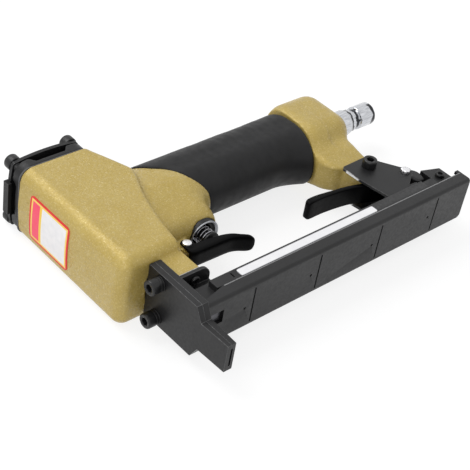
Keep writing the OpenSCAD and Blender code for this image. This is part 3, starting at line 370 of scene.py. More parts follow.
def strip_film():
    """Blank white strip with a thin grey rim."""
    film = Finish("strip_film", 0.32)
    x, y, _ = film.axes()
    along = film.reach(x, STRIP_PLACE[0] * MM, STRIP_SIZE[0] / 2 * MM)
    across = film.reach(y, STRIP_PLACE[1] * MM, STRIP_SIZE[1] / 2 * MM)
    edge = film.math("MAXIMUM", along, across)
    cloud = film.noise(0.005, 3)
    paper = film.ramp(cloud, (0.3, colour(246, 246, 249)), (0.7, colour(254, 254, 255)))
    rim = film.span(edge, -0.0004, -0.0002, 0, 1)
    film.feed(film.mix(rim, paper, colour(176, 176, 180)), "Base Color")
    film.bump(film.noise(0.004, 2), 0.00003, 0.3)
    return film.material


GOLD = gold_paint()
STEEL = black_metal("black_steel", 27, 0.42, 0.0003, 0.0, 0.36)
# Edge finish lighter than its faces: a painted highlight along every rounded edge, with rubbed wear spots
STEEL_EDGE = black_metal("black_steel_edge", 62, 0.36, 0.0003, 0.4)
# Light grey finish for the wall beads: a painted highlight along the channel's wall tops, with rubbed wear
# spots
EDGE_WEAR_AND_HIGHLIGHT = black_metal("edge_wear_and_highlight", 132, 0.34, 0.0003, 0.3)
CASTING = black_metal("black_casting", 20, 0.44, 0.0005, 0.0, 0.33)
# Edge finish lighter than its faces: a painted highlight along every rounded edge, with rubbed wear spots
CASTING_EDGE = black_metal("black_casting_edge", 56, 0.4, 0.0005, 0.2)
SCREW = black_metal("black_screws", 18, 0.36, 0.0003, 0.0, 0.4)
LEVER = black_metal("lever_paint", 8, 0.4, 0.0005, 0.0, 0.07)
BRACKET = bracket_paint()
RUBBER = rubber("black_rubber", 21, 0.27)
SEAL = rubber("seal_rubber", 30, 0.4)
BARE = bright_metal("bare_steel", (168, 168, 170), (200, 200, 202), 0.28, 0.0008, (1, 1, 0.2))
# Darker than bare steel: painted shade on the staple core and pusher inside the channel
SHADED_CORE = bright_metal("core_steel_shaded", (72, 72, 75), (104, 104, 108), 0.36, 0.0008, (0.2, 1, 1))
SPRING = bright_metal("spring_steel", (128, 128, 132), (176, 176, 180), 0.3, 0.0006, (1, 1, 1))
PIN = bright_metal("pin_steel", (214, 214, 216), (242, 242, 244), 0.34, 0.0007, (1, 1, 0.3))
CHROME = plug_plate()
ALUMINIUM = bright_metal("bare_aluminium", (150, 152, 156), (186, 188, 192), 0.38, 0.0006, (1, 0.2, 1))
NYLON = plain_skin("nylon", (226, 220, 204), (238, 234, 220), 0.5, 0.0008)
FIBRE = plain_skin("gasket_fibre", (72, 72, 74), (92, 92, 94), 0.7, 0.0004)
FRONT_FILM = front_film()
STRIP_FILM = strip_film()


# Mesh helpers

def smoothed(data, degrees=32):
    data.polygons.foreach_set("use_smooth", [True] * len(data.polygons))
    data.set_sharp_from_angle(angle=math.radians(degrees))


def piece(name, points, faces, finish, slot, body, *nodes, degrees=32):
    """A new object from points in mm that rides on a body and stands for nodes."""
    data = bpy.data.meshes.new(name)
    places = (np.asarray(points, float) * MM).tolist()
    data.from_pydata(places, [], [list(map(int, face)) for face in faces])
    data.validate()
    data.materials.append(finish)
    smoothed(data, degrees)
    return settle(name, data, slot, body, *nodes)


def settle(name, data, slot, body, *nodes):
    made = bpy.data.objects.new(name, data)
    bpy.context.scene.collection.objects.link(made)
    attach(made, body)
    if nodes:
        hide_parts(*nodes)
    return made


def dressed(node, finish, edge, slot, width=0.4, segments=2, angle=30):
    """A copy of a node with its edges rounded by width, in the edge finish."""
    source = frame["nodes"][node]
    form = bmesh.new()
    form.from_mesh(source.data)
    bmesh.ops.remove_doubles(form, verts=form.verts, dist=2e-6)
    bmesh.ops.dissolve_limit(form, angle_limit=math.radians(0.4), verts=form.verts, edges=form.edges)
    bmesh.ops.recalc_face_normals(form, faces=form.faces)
    data = bpy.data.meshes.new(node + "_form")
    form.to_mesh(data)
    form.free()
    data.materials.clear()
    data.materials.append(finish)
    data.materials.append(edge)
    data.polygons.foreach_set("material_index", [0] * len(data.polygons))
    smoothed(data, angle)
    rough = bpy.data.objects.new(node + "_rough", data)
    bpy.context.scene.collection.objects.link(rough)
    step = rough.modifiers.new("round", "BEVEL")
    step.width = width * MM
    step.segments = segments
    step.limit_method = "ANGLE"
    step.angle_limit = math.radians(angle)
    step.harden_normals = True
    step.use_clamp_overlap = True
    step.material = 1
    bpy.context.view_layer.update()
    graph = bpy.context.evaluated_depsgraph_get()
    shaped = bpy.data.meshes.new_from_object(rough.evaluated_get(graph))
    bpy.data.objects.remove(rough)
    shaped.name = node + "_dressed"
    return settle(node + "_dressed", shaped, slot, source["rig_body"], node)


def rings(profile, count, cap_low=True, cap_high=True):
    """Rings of count points about the Z axis: each row is a radius, or a list of radii, and a height."""
    angles = np.arange(count) * 2 * math.pi / count
    points = []
    for radius, height in profile:
        reach = np.broadcast_to(np.asarray(radius, float), (count,))
        for i in range(count):
            points.append((reach[i] * math.cos(angles[i]), reach[i] * math.sin(angles[i]), height))
    faces = []
    for row in range(len(profile) - 1):
        for i in range(count):
            j = (i + 1) % count
            low = row * count
            faces.append((low + i, low + j, low + count + j, low + count + i))
    if cap_low:
        points.append((0, 0, profile[0][1]))
        faces += [(len(points) - 1, (i + 1) % count, i) for i in range(count)]
    if cap_high:
        low = (len(profile) - 1) * count
        points.append((0, 0, profile[-1][1]))
        faces += [(len(points) - 1, low + i, low + (i + 1) % count) for i in range(count)]
    return np.array(points), faces


def turned_to(points, axis):
    """Points about Z turned so that +Z becomes the given axis."""
    x, y, z = points.T
    table = {
        "+x": (z, y, -x),
        "-x": (-z, y, x),
        "+y": (x, z, -y),
        "-y": (x, -z, y),
        "+z": (x, y, z),
    }
    return np.stack(table[axis], axis=1)


def merged(parts):
    points = []
    faces = []
    for part_points, part_faces in parts:
        start = len(points)
        points += [tuple(p) for p in part_points]
        faces += [tuple(start + i for i in face) for face in part_faces]
    return points, faces


def hexagon(corner, count):
    angles = np.arange(count) * 2 * math.pi / count
    return corner * math.cos(math.pi / 6) / np.cos((angles % (math.pi / 3)) - math.pi / 6)


def socket_screw(radius, length, head_r, head_h, socket, knurls):
    """Cap screw along +Z: a threaded shank, a head with a knurled side, and a hexagon socket."""
    count = 96
    angles = np.arange(count) * 2 * math.pi / count
    knurl = head_r - 0.13 + 0.13 * np.abs(np.sin(angles * knurls / 2))
    corner = socket * 0.5774
    rows = [(radius * 0.7, -length)]
    height = -length + radius * 0.3
    while height < -0.8:
        rows.append((radius, height))
        rows.append((radius * 0.88, height + 0.35))
        height += 0.7
    rows += [
        (radius, -0.3),
        (radius, 0.0),
        (head_r - 0.35, 0.0),
        (head_r - 0.1, 0.2),
        (knurl, 0.45),
        (knurl, head_h - 0.75),
        (head_r - 0.12, head_h - 0.55),
        (head_r - 0.3, head_h - 0.18),
        (head_r - 0.6, head_h),
        (corner + 0.3, head_h),
        (hexagon(corner, count) + 0.05, head_h - 0.25),
        (hexagon(corner, count), head_h - 0.4),
        (hexagon(corner, count), head_h * 0.42),
        (0.2, head_h * 0.34),
    ]
    return rings(rows, count)


def screws(name, node, places, axis, length, size):
    """One piece of several screws: each place is the middle of the face that a head sits on."""
    parts = []
    for place in places:
        points, faces = socket_screw(length=length, **size)
        parts.append((turned_to(points, axis) + np.array(place), faces))
    points, faces = merged(parts)
    body = frame["nodes"][node]["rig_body"]
    piece(name, points, faces, SCREW, "black_screws", body, node, degrees=28)


def helix(name, node, axis, wire, turns, centre, radius, low, high):
    """A round spring wire wound from low to high with closed ends."""
    per_turn = 28
    sides = 10
    total = int(turns * per_turn)
    share = np.linspace(0, 1, total + 1)
    ends = 0.9 / turns
    pace = np.where((share < ends) | (share > 1 - ends), 0.42, 1.0)
    rise = np.concatenate([[0], np.cumsum((pace[1:] + pace[:-1]) / 2)])
    rise = low + wire + (high - low - 2 * wire) * rise / rise[-1]
    turn = share * turns * 2 * math.pi
    line = np.stack([radius * np.cos(turn), radius * np.sin(turn), rise], axis=1)
    ahead = np.gradient(line, axis=0)
    ahead /= np.linalg.norm(ahead, axis=1)[:, None]
    out = np.stack([np.cos(turn), np.sin(turn), np.zeros_like(turn)], axis=1)
    up = np.cross(ahead, out)
    points = []
    for i in range(total + 1):
        for j in range(sides):
            angle = 2 * math.pi * j / sides
            points.append(line[i] + wire * (math.cos(angle) * out[i] + math.sin(angle) * up[i]))
    faces = []
    for i in range(total):
        for j in range(sides):
            k = (j + 1) % sides
            faces.append((i * sides + j, i * sides + k, (i + 1) * sides + k, (i + 1) * sides + j))
    faces.append(tuple(range(sides))[::-1])
    faces.append(tuple(total * sides + j for j in range(sides)))
    placed = turned_to(np.array(points), axis) + np.array(centre)
    body = frame["nodes"][node]["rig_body"]
    return piece(name, placed, faces, SPRING, "bare_steel", body, node, degrees=60)


# Smooth forms: each form gives the distance to its skin, below 0 inside

def curve(points, count=8):
    """A smooth open line through points."""
    pts = np.array(points, float)
    padded = np.vstack([2 * pts[0] - pts[1], pts, 2 * pts[-1] - pts[-2]])
    line = []
    for i in range(len(pts) - 1):
        a, b, c, d = padded[i:i + 4]
        for t in np.linspace(0, 1, count, endpoint=False):
            line.append(0.5 * (2 * b + (c - a) * t + (2 * a - 5 * b + 4 * c - d) * t ** 2
                               + (3 * b - a - 3 * c + d) * t ** 3))
    line.append(pts[-1])
    return [tuple(p) for p in line]


def arc(x, y, radius, start, end, count=8):
    angles = np.radians(np.linspace(start, end, count))
    return [(x + radius * math.cos(a), y + radius * math.sin(a)) for a in angles]


def outline(points, x, y):
    """Distance to a closed outline."""
    near = np.full(x.shape, 1e9)
    inside = np.zeros(x.shape, bool)
    for (ax, ay), (bx, by) in zip(points, points[1:] + points[:1]):
        ex = bx - ax
        ey = by - ay
        along = np.clip(((x - ax) * ex + (y - ay) * ey) / max(ex * ex + ey * ey, 1e-12), 0, 1)
        near = np.minimum(near, (x - ax - ex * along) ** 2 + (y - ay - ey * along) ** 2)
        if ay != by:
            inside ^= ((ay > y) != (by > y)) & (x < ex * (y - ay) / ey + ax)
    return np.where(inside, -1, 1) * np.sqrt(near)


def meet(a, b, r):
    """What two forms share, with the edge between them rounded by r."""
    first = a + r
    second = b + r
    inside = np.minimum(np.maximum(first, second), 0)
    outside = np.hypot(np.maximum(first, 0), np.maximum(second, 0))
    return inside + outside - r


def slab(shape, z, half, r):
    return meet(shape, np.abs(z) - half, r)


def box(p, low, high, r):
    """A box with rounded edges."""
    middle = (np.array(low) + np.array(high)) / 2
    half = (np.array(high) - np.array(low)) / 2 - r
    q = np.abs(p - middle) - half
    return np.linalg.norm(np.maximum(q, 0), axis=1) + np.minimum(q.max(axis=1), 0) - r


def oblong(y, z, half_y, half_z, r):
    """A section with round corners, about the middle of y and z."""
    qy = np.abs(y) - half_y + r
    qz = np.abs(z) - half_z + r
    return np.hypot(np.maximum(qy, 0), np.maximum(qz, 0)) + np.minimum(np.maximum(qy, qz), 0) - r


def fuse(a, b, k):
    """Both forms, with a fillet of about k between them."""
    h = np.maximum(k - np.abs(a - b), 0) / k
    return np.minimum(a, b) - h * h * k / 4


def carve(a, b, k=0.4):
    """The first form without the second, with the new edge eased by k."""
    return -fuse(-a, b, k)


def rod(p, axis, centre, radius, low, high):
    others = [i for i in range(3) if i != axis]
    reach = np.hypot(p[:, others[0]] - centre[0], p[:, others[1]] - centre[1])
    return np.maximum(reach - radius, np.maximum(low - p[:, axis], p[:, axis] - high))


def skin(form, low, high, step):
    """Points and four-sided faces where the form's distance is 0."""
    axes = [np.arange(low[i] - 2 * step, high[i] + 3 * step, step) for i in range(3)]
    coarse_axes = [a[::4] for a in axes]
    grid = np.stack(np.meshgrid(*coarse_axes, indexing="ij"), axis=-1)
    coarse = form(grid.reshape(-1, 3)).reshape(grid.shape[:3])
    pick = [np.minimum((np.arange(len(a)) + 2) // 4, len(c) - 1) for a, c in zip(axes, coarse_axes)]
    field = coarse[np.ix_(*pick)].copy()
    close = np.argwhere(np.abs(field) < 5.2 * step)
    places = np.stack([axes[i][close[:, i]] for i in range(3)], axis=1)
    field[tuple(close.T)] = form(places)
    inside = field < 0
    shape = np.array(field.shape) - 1
    corners = [(i, j, k) for i in (0, 1) for j in (0, 1) for k in (0, 1)]
    count = np.zeros(shape, int)
    for i, j, k in corners:
        count += inside[i:i + shape[0], j:j + shape[1], k:k + shape[2]]
    cells = np.argwhere((count > 0) & (count < 8))
    number = np.full(shape, -1)
    number[tuple(cells.T)] = np.arange(len(cells))
    values = np.stack([field[tuple((cells + np.array(c)).T)] for c in corners], axis=1)
    total = np.zeros((len(cells), 3))
    hits = np.zeros(len(cells))
    for a in range(8):
        for b in range(a + 1, 8):
            if sum(x != y for x, y in zip(corners[a], corners[b])) != 1:
                continue
            crossed = (values[:, a] < 0) != (values[:, b] < 0)
            share = np.where(crossed, values[:, a] / np.where(crossed, values[:, a] - values[:, b], 1), 0)
            start = np.array(corners[a], float)
            way = np.array(corners[b], float) - start
            total += crossed[:, None] * (start + share[:, None] * way)
            hits += crossed
    points = np.array([a[0] for a in axes]) + (cells + total / hits[:, None]) * step
    faces = []
    for axis in range(3):
        one = (axis + 1) % 3
        two = (axis + 2) % 3
        first = [slice(1, n) for n in shape]
        first[axis] = slice(0, shape[axis])
        second = list(first)
        second[axis] = slice(1, shape[axis] + 1)
        here = inside[tuple(first)]
        there = inside[tuple(second)]
        for turn in (False, True):
            found = np.argwhere((here & ~there) if turn else (~here & there))
            found += np.array([0 if i == axis else 1 for i in range(3)])
            shift = np.zeros((4, 3), int)
            shift[1, one] = -1
            shift[2, one] = -1
            shift[2, two] = -1
            shift[3, two] = -1
            ring = np.stack([number[tuple((found + s).T)] for s in shift], axis=1)
            faces.append(ring if turn else ring[:, ::-1])
    faces = np.concatenate(faces)
    faces = faces[(faces >= 0).all(axis=1)]
    gap = 0.02
    for _ in range(3):
        rises = [form(points + gap * way) - form(points - gap * way) for way in np.eye(3)]
        slope = np.stack(rises, axis=1) / (2 * gap)
        size = np.maximum((slope ** 2).sum(axis=1), 0.2)
        move = np.clip(form(points) / size, -step / 2, step / 2)
        points = points - move[:, None] * slope
    return points, faces


# Housing

GRIP_EDGE = curve([
    (33, 137.2), (36.2, 132.2), (39.4, 128.2), (45.2, 121.2), (50, 117), (54, 112), (58, 105.1),
    (62.5, 99.3), (66.2, 95.3), (69.5, 93.5),
])
HEAD_BACK = curve([
    (15, 60), (17.2, 72.7), (19.9, 85.2), (23.8, 98.5), (27.3, 107.6), (30.5, 114.5), (32.8, 121),
])
HEAD_TOP = curve([(32.8, 121), (31.6, 125.7), (28, 136.9), (24, 148.4), (22.6, 152)], 4)
HEAD = [(HEAD_FRONT, 152)] + arc(-14.5, 66, 6, 180, 270) + [(15, 60)] + HEAD_BACK[1:] + HEAD_TOP[1:]
NECK_EDGE = [place for place in GRIP_EDGE[::-1] if place[0] < 66.1]
NECK = [(10, 145), (10, 70), (66.2, 70), (66.2, 95)] + NECK_EDGE + [(33, 145)]
LEG_FRONT = curve([(141.2, 88), (142.4, 81.5), (145.4, 76.5), (149.8, 73.1)])
LEG_FOOT = [(154.3, 63), (156.3, 58.5), (169.9, 58.5)]
LEG_BACK = curve([(169.7, 73), (170.6, 79.9), (172.2, 88.5), (173.4, 97)])
LEG = LEG_FRONT + LEG_FOOT + LEG_BACK + [(173.4, 106), (146.6, 106)]
BACK_EDGE = [
    (140.6, 84), (141.3, 87), (143.4, 95), (145.2, 103), (146.3, 112), (146.55, 119), (146.55, 140),
]


def height_at(line, x):
    """The height of an open line at each x."""
    return np.interp(x, [place[0] for place in line], [place[1] for place in line])


def rear_edge(y):
    """How far back the grip reaches at a height."""
    return height_at([(height, x) for x, height in BACK_EDGE], y)


def drop(x):
    """How far the underside of the handle comes down towards its rear end."""
    share = np.clip((x - 121) / 21, 0, 1)
    return 7.6 * share ** 2 * (1.5 - 0.5 * share)


def handle_section(p, half_y, half_z, r):
    """Oval bar whose underside sweeps down to the leg."""
    y = p[:, 1] - HANDLE
    y = np.where(y < 0, y * half_y / (half_y + drop(p[:, 0])), y)
    return oblong(y, p[:, 2], half_y, half_z, r)


def bowed(x, z):
    """Places moved so that a flat front bows back towards its sides."""
    return x - HEAD_BOW * z ** 2 * np.clip((4 - x) / 16, 0, 1)


def housing_form(p):
    """The casting: head, neck, handle core, handle end, leg, trigger lug and nose boss, with their bores."""
    x, y, z = p.T
    ease = 2.2 + 2.6 * np.clip((y - 121) / 24, 0, 1)
    front = bowed(x, z)
    bent = np.stack([front, y, z], axis=1)
    shell = box(bent, (HEAD_FRONT, 60, -HEAD_HALF), (60, 170, HEAD_HALF), 6.5)
    head = np.maximum(slab(outline(HEAD, front, y), z, HEAD_HALF, ease), shell)
    valve_block = meet(oblong(y - 97, z, 20.4, 14.6, 13), oblong(x - 28, z, 30, 14.6, 11), 4)
    neck = fuse(oblong(y - HANDLE, z, 21.3, 16.2, 16.1), valve_block, 18)
    neck = meet(neck, outline(NECK, x, y) + 0.25, 0.9)
    body = fuse(head, neck, 4.5)
    core = np.maximum(oblong(y - HANDLE, z, 18.8, 15, 14.9), np.maximum(15 - x, x - 152))
    body = np.minimum(body, core)
    near = np.clip(1 - (x - 146.5) / 6, 0, 1)
    knob = oblong(y - HANDLE, z, 21.2, 19.5, 12) + 2.0 * near ** 2
    knob = meet(knob, x - 179.55, 10)
    collar = handle_section(p, 20.6, 17, 16.8)
    collar = np.maximum(collar, x - 156)
    rear = fuse(knob, collar, 5)
    higher = np.clip((y - 73) / 12, 0, 1)
    leg = slab(outline(LEG, x, y), z, 8 + 2.6 * higher, 1.3 + 3 * higher)
    rear = fuse(rear, leg, 4.5)
    rear = np.maximum(rear, rear_edge(y) + 0.05 - x)
    body = np.minimum(body, rear)
    ear = np.hypot(x - TRIGGER_PIN[0], y - TRIGGER_PIN[1]) - 3.5
    arm = np.maximum(np.maximum(12 - x, x - 35.4), np.maximum(TRIGGER_PIN[1] - y, y - 82))
    body = fuse(body, slab(np.minimum(ear, arm), z, 3.7, 0.7), 1.2)
    boss = box(p, (3.05, 46, -15), (17.05, 70, 15), 0.7)
    body = fuse(body, boss, 3)
    body = np.maximum(body, y - 148.4)
    body = np.maximum(body, -rod(p, 1, (0, 0), 18.3, 96, 150))
    body = np.maximum(body, -rod(p, 1, (0, 0), 16.05, 66, 97))
    throat = np.maximum(rod(p, 1, (0, 0), 8, 40, 70), np.where(y < 61.6, -3.65 - x, -9))
    body = np.maximum(body, -throat)
    body = np.maximum(body, -rod(p, 0, (HANDLE, 0), 11, 16, 169.55))
    body = np.maximum(body, -rod(p, 0, (HANDLE, 0), 6.55, 160, 190))
    body = carve(body, rod(p, 1, (VALVE_X, 0), 9.65, 70, 79.2), 0.3)
    body = np.maximum(body, -rod(p, 1, (VALVE_X, 0), 7.55, 76, HANDLE))
    body = np.maximum(body, -rod(p, 2, TRIGGER_PIN, HOLE_R, -9, 9))
    body = np.maximum(body, -rod(p, 2, BRACKET_SCREW, HOLE_R, -9, 9))
    for side in SIDES:
        body = np.maximum(body, -rod(p, 0, (NOSE_SCREW[0], side * NOSE_SCREW[1]), HOLE_R, 2, 9.6))
        body = np.maximum(body, -rod(p, 1, (12.55, side * 10), 1.55, 45, 53))
    return body


points, faces = skin(housing_form, (HEAD_FRONT, 46, -22), (179.55, 148.4, 22), 0.8)
piece("housing_cast", points, faces, GOLD, "gold_paint", "body", "housing", degrees=48)


# Rubber grip

def grip_form(p):
    """Sleeve round the handle core, with faint ripples and a flared rear end."""
    x, y, z = p.T
    ripple = 0.05 * np.sin(x * 0.83 + 0.06 * y) * np.sin(0.31 * x - 0.17 * z + 1.0)
    ripple += 0.08 * np.sin(0.22 * x + 0.3 * y) * np.cos(0.27 * z)
    ripple *= np.clip((x - 60) / 14, 0, 1) * np.clip((y - 100) / 12, 0, 1)
    flare = 0.5 * np.clip((x - 118) / 26, 0, 1) ** 2
    outer = handle_section(p, 21.7, 17.9, 17.8) - ripple - flare + 0.4
    outer = meet(outer, x - rear_edge(y), 2.2 + 2.4 * np.clip((y - 112) / 16, 0, 1))
    front_line = [(33, 160)] + GRIP_EDGE + [(69.5, 70), (170, 70), (170, 160)]
    outer = meet(outer, outline(front_line, x, y) + 0.15, 0.8)
    core = oblong(y - HANDLE, z, 18.85, 15.05, 14.95)
    return np.maximum(outer, -core)


points, faces = skin(grip_form, (32, 84, -19), (147, 138, 19), 0.7)
piece("grip_rubber", points, faces, RUBBER, "black_rubber", "body", "grip_sleeve", degrees=50)


# Trigger

TRIGGER_BED = curve([(31.6, 67.9), (36.5, 67.5), (43.1, 67.1), (49.6, 66.6), (54.6, 65.9), (58.2, 64.6)])
TRIGGER_TOP = curve([
    (28.4, 70.2), (31.6, 69.7), (38.2, 69.2), (44.3, 68.7), (51.1, 67.5), (55.2, 66.3), (58.2, 64.8),
    (61, 62.6), (64, 60.6), (66.6, 59.4), (67.9, 58.6),
])
TRIGGER_LOW = curve([
    (67.6, 57.2), (65.6, 57.4), (63, 58.8), (59.6, 60.9), (56, 62.2), (52, 62.6), (44, 62.8), (36, 63),
    (31.6, 63.2), (29, 64.4), (28.2, 66.6),
])


def trigger_form(p):
    """Lever with a drooping finger end, round below, with cheeks at the pin."""
    x, y, z = p.T
    from_pin = np.hypot(x - TRIGGER_PIN[0], y - TRIGGER_PIN[1])
    depth = np.clip((y - height_at(TRIGGER_LOW[::-1], x)) / 2.6, 0, 1)
    half = 6 - 2.6 * (1 - np.sqrt(np.maximum(1 - (1 - depth) ** 2, 0)))
    blade = meet(outline(TRIGGER_TOP + TRIGGER_LOW, x, y), np.abs(z) - half, 0.9)
    plan = np.minimum(np.maximum(np.abs(z) - 6, x - 62), np.hypot(x - 62, z) - 6)
    blade = meet(blade, plan, 0.8)
    hub = slab(np.maximum(from_pin - 3.6, 28.3 - x), z, 5.9, 0.6)
    lever = fuse(blade, hub, 1.2)
    slot = np.maximum(np.maximum(np.abs(z) - 4.0, x - 37.2), 66.1 - y)
    lever = np.maximum(lever, -slot)
    bed = np.maximum(height_at(TRIGGER_BED, x) - y, x - 58)
    lever = carve(lever, np.maximum(np.abs(z) - 4.4, bed), 0.6)
    return np.maximum(lever, HOLE_R - from_pin)


points, faces = skin(trigger_form, (26, 55, -6), (68, 76, 6), 0.4)
piece("trigger_lever", points, faces, LEVER, "black_steel", "trigger", "trigger", degrees=45)


# Latch lever

LATCH_TOP = curve([
    (178, 55), (164, 56.4), (155.9, 57.3), (151.9, 59.2), (141.2, 62.2), (129.8, 64), (119.7, 65.4),
    (113, 65.3), (111, 64.1),
])
LATCH_LOW = curve([
    (111, 62.5), (113.4, 61.3), (123.7, 61.2), (135.1, 60.2), (145.2, 58.4), (151.9, 55.6), (157.2, 53.6),
    (178, 48.2),
])
HOOK_OUT = curve([
    (175.4, 50), (177, 54), (180.1, 55.3), (184, 54.4), (187, 52), (188.3, 48.9), (187.7, 45), (186.5, 42.1),
])
HOOK_IN = curve([(182.4, 42.1), (181, 44.5), (180, 47)])
HOOK_START = 176.5


def latch_form(p):
    """Long finger lever with a hub on the pin and a hook behind it."""
    x, y, z = p.T
    from_pin = np.hypot(x - LATCH_PIN[0], y - LATCH_PIN[1])
    bar = slab(outline(LATCH_TOP + LATCH_LOW, x, y), z, 6.5, 1.1)
    bar = meet(bar, oblong(x - 161, z, 50, 6.5, 3.2), 0.7)
    hub = slab(from_pin - 4.4, z, 7.7, 0.6)
    hook = slab(outline(HOOK_OUT + HOOK_IN, x, y), z, 7.4, 1.6)
    lever = fuse(fuse(bar, hub, 2), hook, 1.2)
    return np.maximum(lever, HOLE_R - from_pin)


points, faces = skin(latch_form, (110, 41, -8), (190, 67, 8), 0.45)
latch = piece("latch_arm", points, faces, LEVER, "black_steel", "latch", "latch_lever", degrees=45)
latch.data.materials.append(STEEL)
for face in latch.data.polygons:
    face.material_index = 1 if face.center.x > HOOK_START * MM else 0


# Plates and channel: the solids with eased edges

for node, width in [
    ("nose_cover", 0.6),
    ("nose_guide", 0.6),
    ("front_bracket", 0.45),
    ("magazine_guide", 0.35),
    ("end_block", 0.6),
    ("bracket_nut", 0.4),
    ("magazine_channel", 0.35),
]:
    dressed(node, STEEL, STEEL_EDGE, "black_steel", width, 3)


# Beads along the upper edges of the channel's walls, in a light finish: a painted highlight along the wall
# tops, with a few rubbed wear spots

bead_rows = [(0.1, 0), (0.4, 0.15), (0.52, 0.5), (0.52, 181.5), (0.4, 181.85), (0.1, 182)]
beads = []
for side in SIDES:
    bead_points, bead_faces = rings(bead_rows, 24)
    beads.append((turned_to(bead_points, "+x") + np.array([18.6, 29.4, 13.86 * side]), bead_faces))
bead_points, bead_faces = merged(beads)
piece("wall_bead", bead_points, bead_faces, EDGE_WEAR_AND_HIGHLIGHT, "black_steel", "magazine", "magazine_channel")


# Rear bracket, cap plate, gasket and valve stem: the solids with eased edges

dressed("rear_bracket", BRACKET, STEEL_EDGE, "black_steel", 0.3)
dressed("cap_plate", CASTING, CASTING_EDGE, "black_casting", 0.4)
dressed("cap_gasket", FIBRE, FIBRE, "gasket_fibre", 0.15)
dressed("valve_stem", STEEL, STEEL, "black_steel", 0.25)


# Cap ring with its exhaust windows

CAP_X = 1.75


def ring_form(p):
    """Square ring with four windows and a groove round its top."""
    x, y, z = p.T
    plan = oblong(bowed(x, z) - CAP_X, z, 21.95, 21.7, 6.5)
    ring = meet(plan, np.abs(y - 152.725) - 3.525, 0.5)
    ring = np.maximum(ring, -rod(p, 1, (0, 0), 15, 140, 170))
    for along, across in ((x - CAP_X, z), (z, x - CAP_X)):
        window = np.maximum(np.abs(along) - 9.2 - 0.8 * (y - 152.3), 152.3 - y)
        ring = carve(ring, np.maximum(window, 17 - np.abs(across)), 1.0)
    groove = np.maximum(155.2 - y, -1.2 - plan)
    return carve(ring, groove, 0.3)


points, faces = skin(ring_form, (HEAD_FRONT, 149, -22), (24, 156.5, 22), 0.5)
piece("cap_ring_form", points, faces, CASTING, "black_casting", "body", "cap_ring", degrees=40)


# Valve bushing: a cup with a bright rim; its faces off the rim take the black casting finish as painted
# shade in and round the cup

bushing_rows = [
    (2.9, 100.8), (7.3, 100.8), (7.5, 100.6), (7.5, 89.75), (5.7, 89.75), (5.7, 87.85), (7.5, 87.85),
    (7.5, 79.2), (9.4, 79.2), (9.6, 79), (9.6, 76.1), (9.5, 75.8), (9.2, 75.6), (8.8, 75.7), (8.1, 76.6),
    (7.5, 77.4), (7.3, 77.7), (6.3, 78.2), (6.2, 78.4), (6.2, 84.8), (2.9, 84.8), (2.9, 100.8),
]
points, faces = rings(bushing_rows, 72, False, False)
points = turned_to(points, "+y") + np.array([VALVE_X, 0, 0])
bushing = piece(
    "valve_bushing_form", points, faces, ALUMINIUM, "bare_aluminium", "body", "valve_bushing")
# Faces off the rim: black casting finish, painted shade inside and round the cup
bushing.data.materials.append(CASTING)
for face in bushing.data.polygons:
    reach = math.hypot(face.center.x - VALVE_X * MM, face.center.z)
    on_rim = 8.1 * MM < reach < 9.56 * MM and face.center.y < 77 * MM
    face.material_index = 0 if on_rim else 1


# Screws

cap_places = [(CAP_X + 17.5 * i, 158.8, 17.5 * j) for i in SIDES for j in SIDES]
nose_places = [(-6.45, NOSE_SCREW[0], NOSE_SCREW[1] * side) for side in SIDES]
bolt_places = [(12.55, 44, 10 * side) for side in SIDES]
LARGE = {"radius": 2.5, "head_r": 4.25, "head_h": 5, "socket": 4, "knurls": 36}
SMALL = {"radius": 1.5, "head_r": 2.75, "head_h": 2, "socket": 2.75, "knurls": 24}
screws("cap_screw_set", "cap_screws", cap_places, "+y", 27, LARGE)
screws("nose_screw_set", "nose_screws", nose_places, "-x", 16, LARGE)
screws("bracket_screw_form", "bracket_screw", [(*BRACKET_SCREW, 9.65)], "+z", 23.3, LARGE)
screws("bracket_bolt_set", "bracket_bolts", bolt_places, "-y", 8, SMALL)
screws("guide_bolt_set", "guide_bolts", [(157, 40, 0), (171.5, 40, 0)], "+y", 4, SMALL)
screws("end_screw_form", "end_block_screw", [(195.35, 38.7, 8)], "+z", 11, SMALL)


# Plain and spring washers under the nose screws

washer_rows = [
    (2.6, 0), (4.1, 0), (4.25, 0.12), (4.25, 0.8), (4.1, 0.92), (3.5, 0.96), (3.5, 1.04), (3.9, 1.08),
    (4.05, 1.2), (4.05, 2.3), (3.9, 2.45), (2.6, 2.45), (2.6, 0),
]
washers = []
for side in SIDES:
    ring_points, ring_faces = rings(washer_rows, 64, False, False)
    place = np.array([-3.95, NOSE_SCREW[0], NOSE_SCREW[1] * side])
    washers.append((turned_to(ring_points, "-x") + place, ring_faces))
points, faces = merged(washers)
piece("nose_washer_set", points, faces, SCREW, "black_screws", "body", "nose_washers", degrees=28)


# Pins

def pin(name, node, place, half, splines):
    """A steel pin along Z with eased ends, which are wider and splined where splines is above 0."""
    count = 96
    angles = np.arange(count) * 2 * math.pi / count
    swell = 0.45 * np.abs(np.cos(angles * splines / 2)) if splines else 0.0
    star = np.asarray(PIN_R + swell)
    end = [
        (star - 0.5, half),
        (star - 0.1, half - 0.25),
        (star, half - 0.6),
        (star, half - 1.3),
        (PIN_R, half - 1.6),
    ]
    rows = [(radius, -height) for radius, height in end] + end[::-1]
    made_points, made_faces = rings(rows, count)
    made_points = made_points + np.array([*place, 0])
    piece(name, made_points, made_faces, PIN, "bare_steel", "body", node, degrees=35)


pin("trigger_pin_form", "trigger_pin", TRIGGER_PIN, 7, 0)
pin("latch_pin_form", "latch_pin", LATCH_PIN, 11.65, 8)


# Air plug

